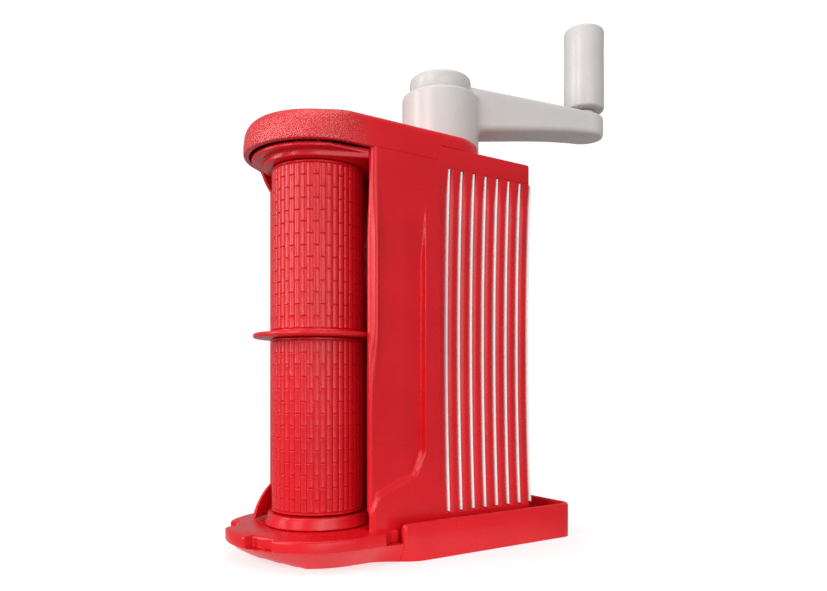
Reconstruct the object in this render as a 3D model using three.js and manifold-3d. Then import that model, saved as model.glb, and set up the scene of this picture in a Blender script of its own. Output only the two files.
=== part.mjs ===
// Hand-cranked upright roller tool for fruit: a rimmed base, a slotted moulded body, a textured
// roller behind its open front, a gear train under the lid and a white crank with a turning grip.
//
// Millimetres, +Z up. The origin is on the underside, straight below the roller's axis.
// +X runs from the roller to the crank and the slotted column, and -Y is the open, loading side.

import * as THREE from 'three';
import { mergeVertices } from 'three/addons/utils/BufferGeometryUtils.js';
import Module from 'manifold-3d';

const wasm = await Module();
wasm.setup();

// ---------------------------------------------------------------- driving dimensions

const clearance = 0.3;            // gap between any two separate pieces
const screwRadius = 1.5;          // shank of every self-tapping screw
const screwHeadRadius = 2.8;
const screwHeadHeight = 1.4;

const gearModule = 1.5;           // three equal spur gears in a row
const gearTeeth = 22;
const gearFace = 3.9;             // tooth width along Z
const gearLift = 0.4;             // gears run this far above the gear plate
const toothTip = 0.8;             // tooth height outside and inside the pitch circle, in modules
const toothRoot = 1.1;
const gearBossRadius = 7;
const gearBossHeight = 3;
const webInner = 9;               // shallow ring let into the gear's upper face
const webOuter = 13;
const webDepth = 1.2;

const rollerRadius = 20;
const rollerLength = 147.1;       // both sleeves with the disc between them
const lowerSleeveLength = 74.1;
const discProud = 8;              // how far the disc stands out of the sleeves
const discThickness = 2;
const sleeveWall = 4;
const axleRadius = 4;
const bushWall = 2.3;
const rollerLift = 0.8;           // the roller runs this far above its seat

const cradleGap = 0.8;            // between the disc's rim and the cradle
const cradleWall = 2.2;
const cradleToSide = 1;           // between the cradle and the outside of the body
const cradleFarAngle = 138;       // end of the far guard, in degrees about the roller's axis
const guardEdgeX = -10.8;         // front edge of the far guard, between its two ears

const wall = 2.6;                 // moulded walls of the body
const columnSideWall = 5;         // thick slotted side walls
const columnFrontToCrank = 22.4;
const capStep = 1.9;              // the plain cap band starts this far above the gear plate's foot
const capHeight = 9;
const capThickness = 1.8;
const capOverhang = 0.5;          // how far the band stands proud of the sides
const capRearOverhang = 0.3;
const nearWallFront = 9;          // front edge of the side wall on the loading side
const farWallSetback = 7.2;       // far wall's front edge, behind the place where the cradle meets it
const creaseSetback = 8.6;        // from the recess's rear edge to the column
const beadRadius = 1.8;           // rounded bead down the front edge of the recess
const recessFootLift = 5;         // recess in the near wall, above the deck
const recessBrowDrop = 8.6;       // and below the gear plate

const finCount = 8;
const finPitch = 6.85;
const finThickness = 0.9;
const firstFinSetback = 4.7;      // from the column's front to the middle of the first fin
const lastFinPast = 1.3;          // the last fin stands past the column's rear face
const slotWidth = 1.8;
const waist = 2;                  // how far the slotted sides bow inwards at mid height
const finSetback = 0.2;           // the white fins' edges lie this far inside the red ribs' faces
const combBacking = 1.7;

const baseMargin = 7.5;           // from the side of the body to the side of the base
const trayBehind = 22;            // from the rear of the column to the rear of the tray
const trayFloor = 3;
const trayRimHeight = 16;
const trayWall = 2.4;
const trayCornerRadius = 6;
const deckStart = 20;             // X where the raised front deck ends and the tray begins
const deckHeight = 13;
const deckThickness = 2.6;
const lipHeight = 5;              // upright band round the front deck
const hullInset = 9.5;            // the hull under the lip draws in by this at the floor
const hullWall = 3;
const bowLength = 22.5;           // the underside rises over this length at the front
const bowSlope = 0.27;
const notchAngle = 27;            // the two notches in the lip, each side of the front, degrees
const notchWidthAngle = 20;
const notchDepth = 4;

const seatHeight = 5.3;
const seatLedge = 1.8;            // the seat's top is this much wider than the roller
const seatFlare = 3;              // and its foot this much

const plateThickness = 4;         // gear plate
const plateLedge = 3.8;           // its front is this much wider than the roller
const plateFlange = 1.6;          // thin upper flange that closes the lid from below

const lidHeight = 13;
const lidWall = 2.2;
const lidTopRounding = 2.5;
const lidShoulderSetback = 12;    // the lid's sides start to round off this far before the crank
const lidRearRadius = 21;

const shaftRadius = 5;
const hubRadius = 18.7;
const hubLift = 0.9;              // the hub turns this far above the cap band
const hubHeight = 35;
const hubCapRadius = 15;
const hubCapHeight = 8.6;
const armAngle = -16;             // rest position of the crank, degrees about Z
const crankRadius = 80;
const armRise = 5.6;              // the arm's top is this far above the hub's top
const armFall = 5.6;              // and slopes down by this towards the grip
const armDepthAtHub = 24;
const armDepthAtEnd = 11.4;
const armHalfWidth = 9.8;
const gripRadius = 10.25;
const gripLift = 3;
const gripLength = 42;
const gripPinRadius = 3;
const pinHeadProud = 2;           // pin heads are this much wider than their pins
const pinHeadHeight = 1.6;
const gripPinHeadDrop = 8;        // head of the grip's pin, below the grip's top
const hubScrewRadius = 2.5;
const hubScrewHeadRadius = 5;
const hubScrewHeadHeight = 2.4;
const hubScrewDepth = 16;         // into the drive shaft, from the hub's top

// ---------------------------------------------------------------- derived places

const pitchRadius = gearModule * gearTeeth / 2;
const idlerX = 2 * pitchRadius;
const crankX = 4 * pitchRadius;

const discRadius = rollerRadius + discProud;
const cradleInner = discRadius + cradleGap;
const cradleOuter = cradleInner + cradleWall;
const bodyHalfWidth = cradleOuter + cradleToSide;
const bodyInside = bodyHalfWidth - wall;
const columnFront = crankX - columnFrontToCrank;
const firstFinX = columnFront + firstFinSetback;
const lastFinX = firstFinX + (finCount - 1) * finPitch;
const columnRear = lastFinX - lastFinPast;
const columnInside = bodyHalfWidth - columnSideWall;
const farWallFront = Math.sqrt(cradleOuter ** 2 - bodyInside ** 2) + farWallSetback;
const creaseX = columnFront - creaseSetback;
const cradleNearAngle = -Math.asin((bodyInside - wall - clearance) / cradleOuter) * 180 / Math.PI;

const baseHalfWidth = bodyHalfWidth + baseMargin;   // also the radius of the base's round front
const hullBottomRadius = baseHalfWidth - hullInset;
const bowStart = bowLength - baseHalfWidth;
const trayRearX = columnRear + trayBehind;
const lipBottom = deckHeight - lipHeight;
const deckUnderside = deckHeight - deckThickness;
const deckFoot = deckHeight + clearance;
const bodyFoot = trayFloor + clearance;
const cavityRadius = hullBottomRadius - hullWall;

const seatTop = deckHeight + seatHeight;
const seatTopRadius = rollerRadius + seatLedge;
const seatFootRadius = rollerRadius + seatFlare;
const rollerBottom = seatTop + rollerLift;
const rollerTop = rollerBottom + rollerLength;
const discBottom = rollerBottom + lowerSleeveLength;
const discTop = discBottom + discThickness;

const plateBottom = rollerTop + gearLift;
const plateTop = plateBottom + plateThickness;
const plateFrontRadius = rollerRadius + plateLedge;
const plateHalfWidth = bodyInside - clearance;
const plateRearX = columnRear - wall - 3 * clearance;
const gearBottom = plateTop + gearLift;
const gearTop = gearBottom + gearFace;
const cradleTop = plateBottom - clearance;

const capBottom = plateBottom + capStep;
const capTop = capBottom + capHeight;
const slotBottom = trayRimHeight + 1.3;
const slotTop = capBottom - clearance;
const combOuter = columnInside - clearance;
const combInner = combOuter - combBacking;

const lidBottom = plateTop + gearLift;
const lidTop = lidBottom + lidHeight;
const lidShoulderX = crankX - lidShoulderSetback;
const bodyTop = lidBottom - clearance;
const earTop = bodyTop;

const hubBottom = capTop + hubLift;
const hubTop = hubBottom + hubHeight;
const hubCapTop = hubTop + hubCapHeight;
const armTop = hubTop + armRise;
const armBottomAtHub = armTop - armDepthAtHub;
const armEndTop = armTop - armFall;
const armBottomAtEnd = armEndTop - armDepthAtEnd;
const gripPinFoot = armBottomAtEnd + 2.5;
const gripBottom = armEndTop + gripLift;
const gripTop = gripBottom + gripLength;

const red = { color: 0xcd2430, roughness: 0.32, metalness: 0 };
const white = { color: 0xe9e6e2, roughness: 0.38, metalness: 0 };
const acetal = { color: 0xf1efe6, roughness: 0.45, metalness: 0 };
const steel = { color: 0xb8bbbf, roughness: 0.3, metalness: 1 };
const rubber = { color: 0x2b2b2d, roughness: 0.85, metalness: 0 };

// ---------------------------------------------------------------- solids and booleans

// Turns a closed geometry into a solid, with its faces pointing outwards.
function solid(geometry) {
  geometry.deleteAttribute('normal');
  geometry.deleteAttribute('uv');
  const merged = mergeVertices(geometry, 1e-4);
  const vertices = merged.attributes.position.array;
  const triangles = Uint32Array.from(merged.index.array);
  if (signedVolume(vertices, triangles) < 0) {
    for (let i = 0; i < triangles.length; i += 3) {
      [triangles[i], triangles[i + 1]] = [triangles[i + 1], triangles[i]];
    }
  }
  const mesh = new wasm.Mesh({ numProp: 3, vertProperties: vertices, triVerts: triangles });
  return new wasm.Manifold(mesh);
}

function signedVolume(vertices, triangles) {
  const corners = [0, 1, 2].map(() => new THREE.Vector3());
  let volume = 0;
  for (let i = 0; i < triangles.length; i += 3) {
    corners.forEach((corner, k) => corner.fromArray(vertices, 3 * triangles[i + k]));
    volume += corners[0].dot(corners[1].clone().cross(corners[2])) / 6;
  }
  return volume;
}

const join = (...solids) => solids.reduce((sum, next) => sum.add(next));
const cut = (body, ...tools) => tools.reduce((rest, tool) => rest.subtract(tool), body);
const meet = (a, b) => a.intersect(b);

function geometryOf(body) {
  const mesh = body.getMesh();
  const geometry = new THREE.BufferGeometry();
  geometry.setAttribute('position', new THREE.BufferAttribute(mesh.vertProperties, 3));
  geometry.setIndex(new THREE.BufferAttribute(mesh.triVerts, 1));
  geometry.computeVertexNormals();
  return geometry;
}

function block(x0, x1, y0, y1, z0, z1) {
  const geometry = new THREE.BoxGeometry(x1 - x0, y1 - y0, z1 - z0);
  geometry.translate((x0 + x1) / 2, (y0 + y1) / 2, (z0 + z1) / 2);
  return solid(geometry);
}

function rod(radius, z0, z1, x = 0, y = 0, sides = 20) {
  const geometry = new THREE.CylinderGeometry(radius, radius, z1 - z0, sides);
  geometry.rotateX(Math.PI / 2);
  geometry.translate(x, y, (z0 + z1) / 2);
  return solid(geometry);
}

const ring = (inner, outer, z0, z1, x = 0, y = 0, sides = 20) =>
  cut(rod(outer, z0, z1, x, y, sides), rod(inner, z0 - 1, z1 + 1, x, y, sides));

// A profile of [radius, z] points turned about the Z axis.
function turned(profile, sides = 32) {
  const points = profile.map(([radius, z]) => new THREE.Vector2(radius, z));
  const geometry = new THREE.LatheGeometry(points, sides);
  geometry.rotateX(Math.PI / 2);
  return solid(geometry);
}

function shapeOf(points) {
  return new THREE.Shape(points.map(([u, v]) => new THREE.Vector2(u, v)));
}

function prism(shape, z0, z1, curveSegments = 12) {
  const options = { depth: z1 - z0, bevelEnabled: false, curveSegments };
  const geometry = new THREE.ExtrudeGeometry(shape, options);
  geometry.translate(0, 0, z0);
  return solid(geometry);
}

// A shape drawn in X and Z, given thickness from y0 to y1.
function uprightPlate(shape, y0, y1, curveSegments = 5) {
  const options = { depth: y1 - y0, bevelEnabled: false, curveSegments };
  const geometry = new THREE.ExtrudeGeometry(shape, options);
  geometry.rotateX(Math.PI / 2);
  geometry.translate(0, y1, 0);
  return solid(geometry);
}

// A shape drawn in Y and Z, given thickness from x0 to x1.
function crossPlate(shape, x0, x1, curveSegments = 10) {
  const options = { depth: x1 - x0, bevelEnabled: false, curveSegments };
  const geometry = new THREE.ExtrudeGeometry(shape, options);
  const axes = new THREE.Matrix4().makeBasis(
    new THREE.Vector3(0, 1, 0), new THREE.Vector3(0, 0, 1), new THREE.Vector3(1, 0, 0));
  geometry.applyMatrix4(axes);
  geometry.translate(x0, 0, 0);
  return solid(geometry);
}

const radians = (degrees) => degrees * Math.PI / 180;
const polar = (radius, degrees) =>
  [radius * Math.cos(radians(degrees)), radius * Math.sin(radians(degrees))];

// A round bar with one flat, which turns what is fitted on it.
function flattedShape(radius) {
  const flat = 0.72;
  const half = Math.acos(flat);
  const shape = new THREE.Shape();
  shape.absarc(0, 0, radius, half, 2 * Math.PI - half, false);
  shape.closePath();
  return shape;
}

function flattedBar(radius, z0, z1, x = 0) {
  return prism(flattedShape(radius), z0, z1, 12).translate(x, 0, 0);
}

// A screw with its head below, pointing up, or above, pointing down.
function screw(x, y, headFace, tip, headRadius = screwHeadRadius) {
  const up = tip > headFace;
  const shoulder = headFace + (up ? screwHeadHeight : -screwHeadHeight);
  const head = rod(headRadius, Math.min(headFace, shoulder), Math.max(headFace, shoulder), x, y, 10);
  const shank = rod(screwRadius, Math.min(headFace, tip), Math.max(headFace, tip), x, y, 8);
  return join(head, shank);
}

const screwHole = (x, y, z0, z1) => rod(screwRadius + clearance, z0, z1, x, y, 8);
const headHole = (x, y, z0, z1) => rod(screwHeadRadius + clearance, z0, z1, x, y, 10);

// ---------------------------------------------------------------- the object

const object = new THREE.Group();

function add(name, body, finish, parent = object) {
  const mesh = new THREE.Mesh(geometryOf(body), new THREE.MeshStandardMaterial(finish));
  mesh.name = name;
  parent.add(mesh);
  return mesh;
}

// ---- places of the fasteners, shared by the pieces that they join

const sides = [-1, 1];
const bossRadius = 4.2;
const bossInset = bossRadius - 0.4;
const bodyScrewY = columnInside - 10;
const bodyBossXs = [columnFront + wall + bossInset, columnRear - wall - bossInset];
const bodyScrewPlaces = bodyBossXs.flatMap((x) => sides.map((side) => [x, side * bodyScrewY]));
const bodyBossTop = 18;

const coverScrewRadius = cavityRadius - 6;
const coverScrewPlaces = [30, 150, 270].map((angle) => polar(coverScrewRadius, angle));
const coverThickness = 2.2;

const seatScrewRadius = seatTopRadius - 9;
const seatScrewPlaces = [90, 210, 330].map((angle) => polar(seatScrewRadius, angle));

const lidScrewY = bodyHalfWidth - 8;
const lidFrontScrewX = pitchRadius;
const lidScrewPlaces = [lidFrontScrewX, lidShoulderX].flatMap(
  (x) => sides.map((side) => [x, side * lidScrewY]));
const lidHeadFace = lidTop - 0.4;

const plateScrewX = idlerX - 3;             // clear of the lid's screws
const plateScrewY = bodyHalfWidth - 6;
const plateScrewPlaces = sides.map((side) => [plateScrewX, side * plateScrewY]);

const footRadius = 5;
const footHeight = 1.7;
const footY = baseHalfWidth - hullInset;
const footXs = { front: deckStart + 6, rear: trayRearX - 8.5 };

// ---- base tray: raised round deck in front, rimmed drip tray behind

// Half section of the front: drawn-in hull, then the upright lip.
const hullProfile = [
  [0, 0], [hullBottomRadius, 0], [baseHalfWidth - 1, lipBottom], [baseHalfWidth, lipBottom],
  [baseHalfWidth, deckHeight], [0, deckHeight],
];

function trayOutline(inset) {
  const y = baseHalfWidth - inset;
  const x = trayRearX - inset;
  const r = trayCornerRadius - inset;
  const outline = new THREE.Shape();
  outline.moveTo(deckStart - 0.5, -y);
  outline.lineTo(x - r, -y);
  outline.absarc(x - r, -y + r, r, -Math.PI / 2, 0, false);
  outline.absarc(x - r, y - r, r, 0, Math.PI / 2, false);
  outline.lineTo(deckStart - 0.5, y);
  outline.closePath();
  return outline;
}

function baseTray() {
  const front = meet(turned(hullProfile, 48),
    block(-baseHalfWidth - 1, deckStart, -baseHalfWidth - 1, baseHalfWidth + 1, -1, deckHeight + 1));
  const mirrored = hullProfile.slice(1, -1).map(([y, z]) => [-y, z]).reverse();
  const section = shapeOf([...hullProfile.slice(1, -1), ...mirrored]);
  const neck = crossPlate(section, 0, deckStart);
  const tray = cut(
    prism(trayOutline(0), 0, trayRimHeight, 5),
    prism(trayOutline(trayWall), trayFloor, trayRimHeight + 1, 4));
  let base = join(front, neck, tray);

  // The underside of the bow rises towards the front.
  const bowEnd = -baseHalfWidth - 1;
  const rise = bowSlope * (bowStart - bowEnd);
  const bow = uprightPlate(shapeOf([[bowStart, 0], [bowStart, -1], [bowEnd, -1], [bowEnd, rise]]),
    -baseHalfWidth - 1, baseHalfWidth + 1);
  base = cut(base, bow);

  // Notches in the lip, one each side of the front.
  for (const side of sides) {
    const middle = 180 + side * notchAngle;
    const corners = [
      polar(baseHalfWidth - notchDepth, middle - notchWidthAngle / 2),
      polar(baseHalfWidth + 3, middle - notchWidthAngle / 2),
      polar(baseHalfWidth + 3, middle + notchWidthAngle / 2),
      polar(baseHalfWidth - notchDepth, middle + notchWidthAngle / 2),
    ];
    base = cut(base, prism(shapeOf(corners), lipBottom, deckHeight + 1));
  }

  // Hollow under the deck, with posts for the bottom cover.
  let cavity = rod(cavityRadius, -1, deckUnderside, 0, 0, 32);
  for (const [x, y] of coverScrewPlaces) {
    cavity = cut(cavity, rod(3.4, coverThickness + clearance, deckHeight, x, y, 10));
  }
  base = cut(base, cavity);
  for (const [x, y] of coverScrewPlaces) {
    base = cut(base, screwHole(x, y, 0, deckUnderside - 0.5));
  }
  for (const [x, y] of seatScrewPlaces) {
    base = cut(base, screwHole(x, y, 0, deckHeight + 1));
  }
  base = cut(base, rod(axleRadius + clearance + bushWall + clearance, 0, deckHeight + 1));

  for (const [x, y] of bodyScrewPlaces) {
    base = cut(base, screwHole(x, y, -1, trayFloor + 1),
      headHole(x, y, -1, clearance + screwHeadHeight + clearance));
  }
  for (const x of Object.values(footXs)) {
    for (const side of sides) {
      base = cut(base, rod(footRadius + clearance, -1, footHeight + clearance, x, side * footY, 16));
    }
  }
  return base;
}

function bottomCover() {
  let cover = rod(cavityRadius - clearance, 0, coverThickness, 0, 0, 32);
  for (const [x, y] of coverScrewPlaces) {
    cover = cut(cover, screwHole(x, y, -1, coverThickness + 1),
      headHole(x, y, -1, clearance + screwHeadHeight));
  }
  // The cover follows the rising bow.
  const rise = bowSlope * (bowStart + cavityRadius);
  const bow = uprightPlate(
    shapeOf([[bowStart, 0], [bowStart, -1], [-cavityRadius, -1], [-cavityRadius, rise]]),
    -baseHalfWidth, baseHalfWidth);
  return cut(cover, bow);
}

// ---- roller seat: the low cone on the deck that carries the roller's lower bush

function rollerSeat() {
  let seat = turned([[0, deckFoot], [seatFootRadius, deckFoot], [seatFootRadius, deckFoot + 0.6],
    [seatTopRadius, seatTop - 1.4], [seatTopRadius, seatTop], [0, seatTop]], 32);
  seat = cut(seat, rod(axleRadius + bushWall + 2 * clearance, 0, seatTop + 1));
  for (const [x, y] of seatScrewPlaces) {
    seat = cut(seat, screwHole(x, y, 0, seatTop - 1.2));
  }
  return seat;
}

// ---- body housing: slotted column, plain cap band, and the two side walls

// Outline in Y and Z between the bowed side face and a straight line outside it.
function bowCutShape(side, z0, z1, depth) {
  const steps = 8;
  const points = [];
  for (let i = 0; i <= steps; i += 1) {
    const t = i / steps;
    points.push([side * (bodyHalfWidth - 4 * depth * t * (1 - t)), z0 + t * (z1 - z0)]);
  }
  points.push([side * (bodyHalfWidth + 2), z1], [side * (bodyHalfWidth + 2), z0]);
  return shapeOf(side > 0 ? points : points.reverse());
}

// Outline in X and Z of the scooped recess in the near wall: a curved foot that runs up to the
// rear, an upright rear edge, and a brow that slopes back down to the front.
function recessOutline(margin) {
  const front = nearWallFront - 3;
  const foot = deckHeight + recessFootLift - margin;
  const brow = plateBottom - recessBrowDrop + margin;
  const rear = creaseX + margin;
  const shape = new THREE.Shape();
  shape.moveTo(front, foot);
  shape.lineTo(nearWallFront, foot);
  shape.quadraticCurveTo(nearWallFront + 1, foot + 6, nearWallFront + 5, foot + 8.5);
  shape.lineTo(rear - 4, foot + 18);
  shape.quadraticCurveTo(rear, foot + 20, rear, foot + 26);
  shape.lineTo(rear, brow - 18);
  shape.quadraticCurveTo(rear, brow - 11, rear - 5, brow - 9);
  shape.lineTo(nearWallFront + 2, brow);
  shape.lineTo(front, brow);
  shape.closePath();
  return shape;
}

function sideWall(side) {
  const front = side < 0 ? nearWallFront : farWallFront;
  const outer = bodyHalfWidth;
  const inner = bodyInside;
  const trayStart = deckStart + clearance;
  const outline = shapeOf([
    [columnFront + 1, bodyFoot], [columnFront + 1, bodyTop], [front, bodyTop],
    [front, deckFoot], [trayStart, deckFoot], [trayStart, bodyFoot],
  ]);
  const y0 = side < 0 ? -outer : inner;
  const y1 = side < 0 ? -inner : outer;
  let plate = uprightPlate(outline, y0, y1);
  if (side < 0) {
    // The outer skin is cut away over the recess, and a second skin lies behind it.
    const beadX = nearWallFront + 2 * beadRadius + 0.2;
    const skin = meet(
      uprightPlate(recessOutline(2), -inner - 0.01, -inner + wall),
      block(beadX - 0.4, columnFront, -outer, outer, bodyFoot, bodyTop));
    const bead = rod(beadRadius, deckHeight + recessFootLift + 4,
      plateBottom - recessBrowDrop + 2, beadX, -inner + 0.4, 12);
    plate = join(cut(plate, uprightPlate(recessOutline(0), -outer - 1, -inner)), skin, bead);
  }
  return plate;
}

function bodyHousing() {
  const capY = bodyHalfWidth + capOverhang;
  const capRear = columnRear + capRearOverhang;
  let body = join(
    block(columnFront, columnRear, -bodyHalfWidth, bodyHalfWidth, bodyFoot, capTop),
    block(columnFront, capRear, -capY, capY, capBottom, capTop),
    sideWall(-1), sideWall(1));

  // Inside of the column, open at the foot, with room for the gears at the top.
  body = cut(body, block(columnFront + wall, columnRear - wall, -columnInside, columnInside,
    bodyFoot - 1, capTop - capThickness));
  body = cut(body, block(columnFront - 1, columnFront + wall + 1, -columnInside, columnInside,
    plateBottom - clearance, capTop - capThickness));

  for (const side of sides) {
    body = cut(body, crossPlate(bowCutShape(side, slotBottom, capBottom, waist),
      columnFront + 1, columnRear + 1));
    // Slots for the fins, and the open corner past the last rib.
    const slotInner = side * (combInner - clearance);
    const y0 = Math.min(slotInner, side * (bodyHalfWidth + 2));
    const y1 = Math.max(slotInner, side * (bodyHalfWidth + 2));
    for (let k = 0; k < finCount - 1; k += 1) {
      const x = firstFinX + k * finPitch;
      body = cut(body, block(x - slotWidth / 2, x + slotWidth / 2, y0, y1, slotBottom, slotTop));
    }
    // The rear wall stops short of the comb's backing.
    const r0 = Math.min(slotInner, side * columnInside);
    const r1 = Math.max(slotInner, side * columnInside);
    body = cut(body, block(columnRear - wall - 1, columnRear + 1, r0, r1, slotBottom, slotTop));
  }

  // Bosses for the screws from below, pads under the gear plate, bosses under the cap.
  for (const [x, y] of bodyScrewPlaces) {
    body = join(body, rod(bossRadius, bodyFoot, bodyBossTop, x, y, 12));
    body = cut(body, screwHole(x, y, 0, bodyBossTop - 1.5));
  }
  for (const side of sides) {
    const padInner = side * (bodyHalfWidth - 8.5);
    const padOuter = side * (bodyHalfWidth - wall + 0.4);
    body = join(body, block(farWallFront + 4.5, columnFront - 1.5, Math.min(padInner, padOuter),
      Math.max(padInner, padOuter), plateBottom - 7, plateBottom - clearance));
  }
  for (const [x, y] of plateScrewPlaces) {
    body = cut(body, screwHole(x, y, plateBottom - 6, plateTop));
  }
  for (const [x, y] of lidScrewPlaces.filter(([px]) => px > columnFront)) {
    body = join(body, rod(bossRadius, plateTop + 2 * clearance, capTop - 1, x, y, 12));
    body = cut(body, screwHole(x, y, capBottom - 1, capTop + 1));
  }
  body = cut(body, rod(shaftRadius + bushWall + 2 * clearance, capBottom, capTop + 1, crankX, 0));
  return body;
}

// ---- guide cradle: the smooth curved wall behind the roller, with the far guard and its ears

function guideCradle() {
  const outline = new THREE.Shape();
  const near = radians(cradleNearAngle);
  const far = radians(cradleFarAngle);
  outline.absarc(0, 0, cradleOuter, near, far, false);
  outline.absarc(0, 0, cradleInner, far, near, true);
  outline.closePath();
  const cradle = prism(outline, deckFoot, earTop, 24);

  const clear = cradleOuter + 2;
  const earRear = guardEdgeX + 6.3;
  const opening = new THREE.Shape();
  opening.moveTo(-clear, deckFoot - 1);
  opening.lineTo(guardEdgeX - 12, deckFoot - 1);
  opening.quadraticCurveTo(guardEdgeX - 8, deckFoot + 8, guardEdgeX, deckFoot + 14);
  opening.lineTo(guardEdgeX, earTop - 8);
  opening.quadraticCurveTo(guardEdgeX - 3.5, earTop - 5, guardEdgeX - 6, earTop + 1);
  opening.lineTo(-clear, earTop + 1);
  opening.closePath();
  return cut(cradle,
    uprightPlate(opening, 0, clear),
    block(earRear, clear, -clear, clear, cradleTop, earTop + 1));
}

// ---- comb: eight thin fins on one backing sheet, which fills the slots from inside

function comb(side) {
  const z0 = slotBottom + clearance;
  const z1 = slotTop - clearance;
  const inner = Math.min(side * combInner, side * combOuter);
  const outer = Math.max(side * combInner, side * combOuter);
  let insert = block(firstFinX - finThickness / 2, lastFinX + finThickness / 2, inner, outer, z0, z1);
  for (let k = 0; k < finCount; k += 1) {
    const x = firstFinX + k * finPitch;
    const root = side * (combOuter - 0.5);
    const tip = side * (bodyHalfWidth + 1);
    const fin = cut(
      block(x - finThickness / 2, x + finThickness / 2, Math.min(root, tip), Math.max(root, tip),
        z0, z1),
      crossPlate(bowCutShape(side, slotBottom, capBottom, waist), x - 2, x + 2)
        .translate(0, -side * finSetback, 0));
    insert = join(insert, fin);
  }
  return insert;
}

// ---- gear plate: carries the roller's upper bush, the idler's pin and the drive shaft's bush

// Outline in X and Y: round in front, as wide as the side walls allow, then narrow in the column.
function plateOutline(frontRadius, rearX) {
  const throat = columnFront - 1.2;
  const half = combInner - clearance;
  const shoulder = Math.acos(-Math.min(1, 8 / frontRadius));
  const outline = new THREE.Shape();
  outline.absarc(0, 0, frontRadius, shoulder, 2 * Math.PI - shoulder, false);
  outline.lineTo(nearWallFront, -plateHalfWidth);
  outline.lineTo(throat, -plateHalfWidth);
  if (rearX > throat) {
    outline.lineTo(throat, -half);
    outline.lineTo(rearX, -half);
    outline.lineTo(rearX, half);
    outline.lineTo(throat, half);
  }
  outline.lineTo(throat, plateHalfWidth);
  outline.lineTo(nearWallFront, plateHalfWidth);
  outline.closePath();
  return outline;
}

function gearPlate() {
  let plate = join(
    prism(plateOutline(plateFrontRadius, plateRearX), plateBottom, plateTop, 14),
    prism(plateOutline(cradleInner - clearance, 0), plateTop - plateFlange, plateTop, 20));
  plate = cut(plate,
    rod(axleRadius + bushWall + 2 * clearance, plateBottom - 1, plateTop + 1),
    rod(gripPinRadius + clearance, plateBottom - 1, plateTop + 1, idlerX),
    rod(shaftRadius + bushWall + 2 * clearance, plateBottom - 1, plateTop + 1, crankX));
  for (const [x, y] of [...plateScrewPlaces, ...lidScrewPlaces.filter(([px]) => px < columnFront)]) {
    plate = cut(plate, screwHole(x, y, plateBottom - 1, plateTop + 1));
  }
  return plate;
}

// ---- lid: rounded over the roller, stepped up over the column, with a seat for the crank's hub

function lidOutline(inset) {
  const half = bodyHalfWidth - inset;
  const rear = lidRearRadius - inset;
  const cornerY = bodyHalfWidth - lidRearRadius;
  const outline = new THREE.Shape();
  outline.absarc(0, 0, half, radians(90), radians(270), false);
  outline.lineTo(lidShoulderX, -half);
  outline.absarc(lidShoulderX, -cornerY, rear, radians(-90), 0, false);
  outline.absarc(lidShoulderX, cornerY, rear, 0, radians(90), false);
  outline.closePath();
  return outline;
}

function topLid() {
  // The rounded top edge is a bevel; the lower bevel is cut off.
  const bevel = lidTopRounding;
  const options = {
    depth: lidTop - lidBottom, bevelEnabled: true, bevelThickness: bevel, bevelSize: bevel,
    bevelOffset: -bevel, bevelSegments: 2, curveSegments: 14,
  };
  const blank = new THREE.ExtrudeGeometry(lidOutline(0), options);
  blank.translate(0, 0, lidBottom - bevel);
  let lid = cut(solid(blank), block(-50, 120, -50, 50, lidBottom - 10, lidBottom));

  const seatX = columnFront - clearance - 0.4;
  lid = cut(lid, block(seatX, 120, -50, 50, lidBottom - 1, capTop + clearance));
  lid = cut(lid, meet(
    prism(lidOutline(lidWall), lidBottom - 1, lidTop - lidWall, 14),
    block(-50, seatX - lidWall, -50, 50, lidBottom - 2, lidTop)));
  lid = cut(lid, block(seatX - lidWall - 1, seatX + 1, -columnInside, columnInside,
    lidBottom - 1, capTop - capThickness));
  lid = cut(lid, rod(hubRadius + 3 * clearance, capTop - 1, lidTop + 1, crankX, 0, 32));

  for (const [x, y] of lidScrewPlaces) {
    if (x < columnFront) {
      lid = join(lid, rod(bossRadius, plateTop + clearance, lidTop - 1, x, y, 12));
    }
    lid = cut(lid, screwHole(x, y, lidBottom - 1, lidTop + 1),
      headHole(x, y, lidHeadFace - screwHeadHeight - clearance, lidTop + 1));
  }
  return lid;
}

// ---- gears: straight flanks, stub teeth and a little backlash

function gearOutline(phase) {
  const tip = pitchRadius + toothTip * gearModule;
  const root = pitchRadius - toothRoot * gearModule;
  const step = 2 * Math.PI / gearTeeth;
  const points = [];
  for (let k = 0; k < gearTeeth; k += 1) {
    const middle = phase + k * step;
    const flank = [[root, 0.34], [tip, 0.12]];
    const rising = flank.map(([r, half]) => [r, middle - half * step]);
    const falling = flank.map(([r, half]) => [r, middle + half * step]).reverse();
    points.push(...[...rising, ...falling].map(([r, a]) => [r * Math.cos(a), r * Math.sin(a)]));
  }
  return shapeOf(points);
}

function gear(phase, x, bossTop, bore) {
  const wheel = prism(gearOutline(phase), gearBottom, gearTop).translate(x, 0, 0);
  const web = ring(webInner, webOuter, gearTop - webDepth, gearTop + 1, x);
  return cut(join(cut(wheel, web), rod(gearBossRadius, gearBottom, bossTop, x)), bore);
}

// ---- roller: steel axle, two textured sleeves and the disc between them

function sleeve(z0, z1) {
  const shell = rod(rollerRadius, z0, z1, 0, 0, 32);
  const hollow = rod(rollerRadius - sleeveWall, z0 + sleeveWall, z1 - sleeveWall, 0, 0, 16);
  return cut(shell, hollow, flattedBar(axleRadius + clearance, z0 - 1, z1 + 1));
}

function bush(radius, z0, z1, x = 0) {
  return ring(radius + clearance, radius + clearance + bushWall, z0, z1, x);
}

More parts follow.
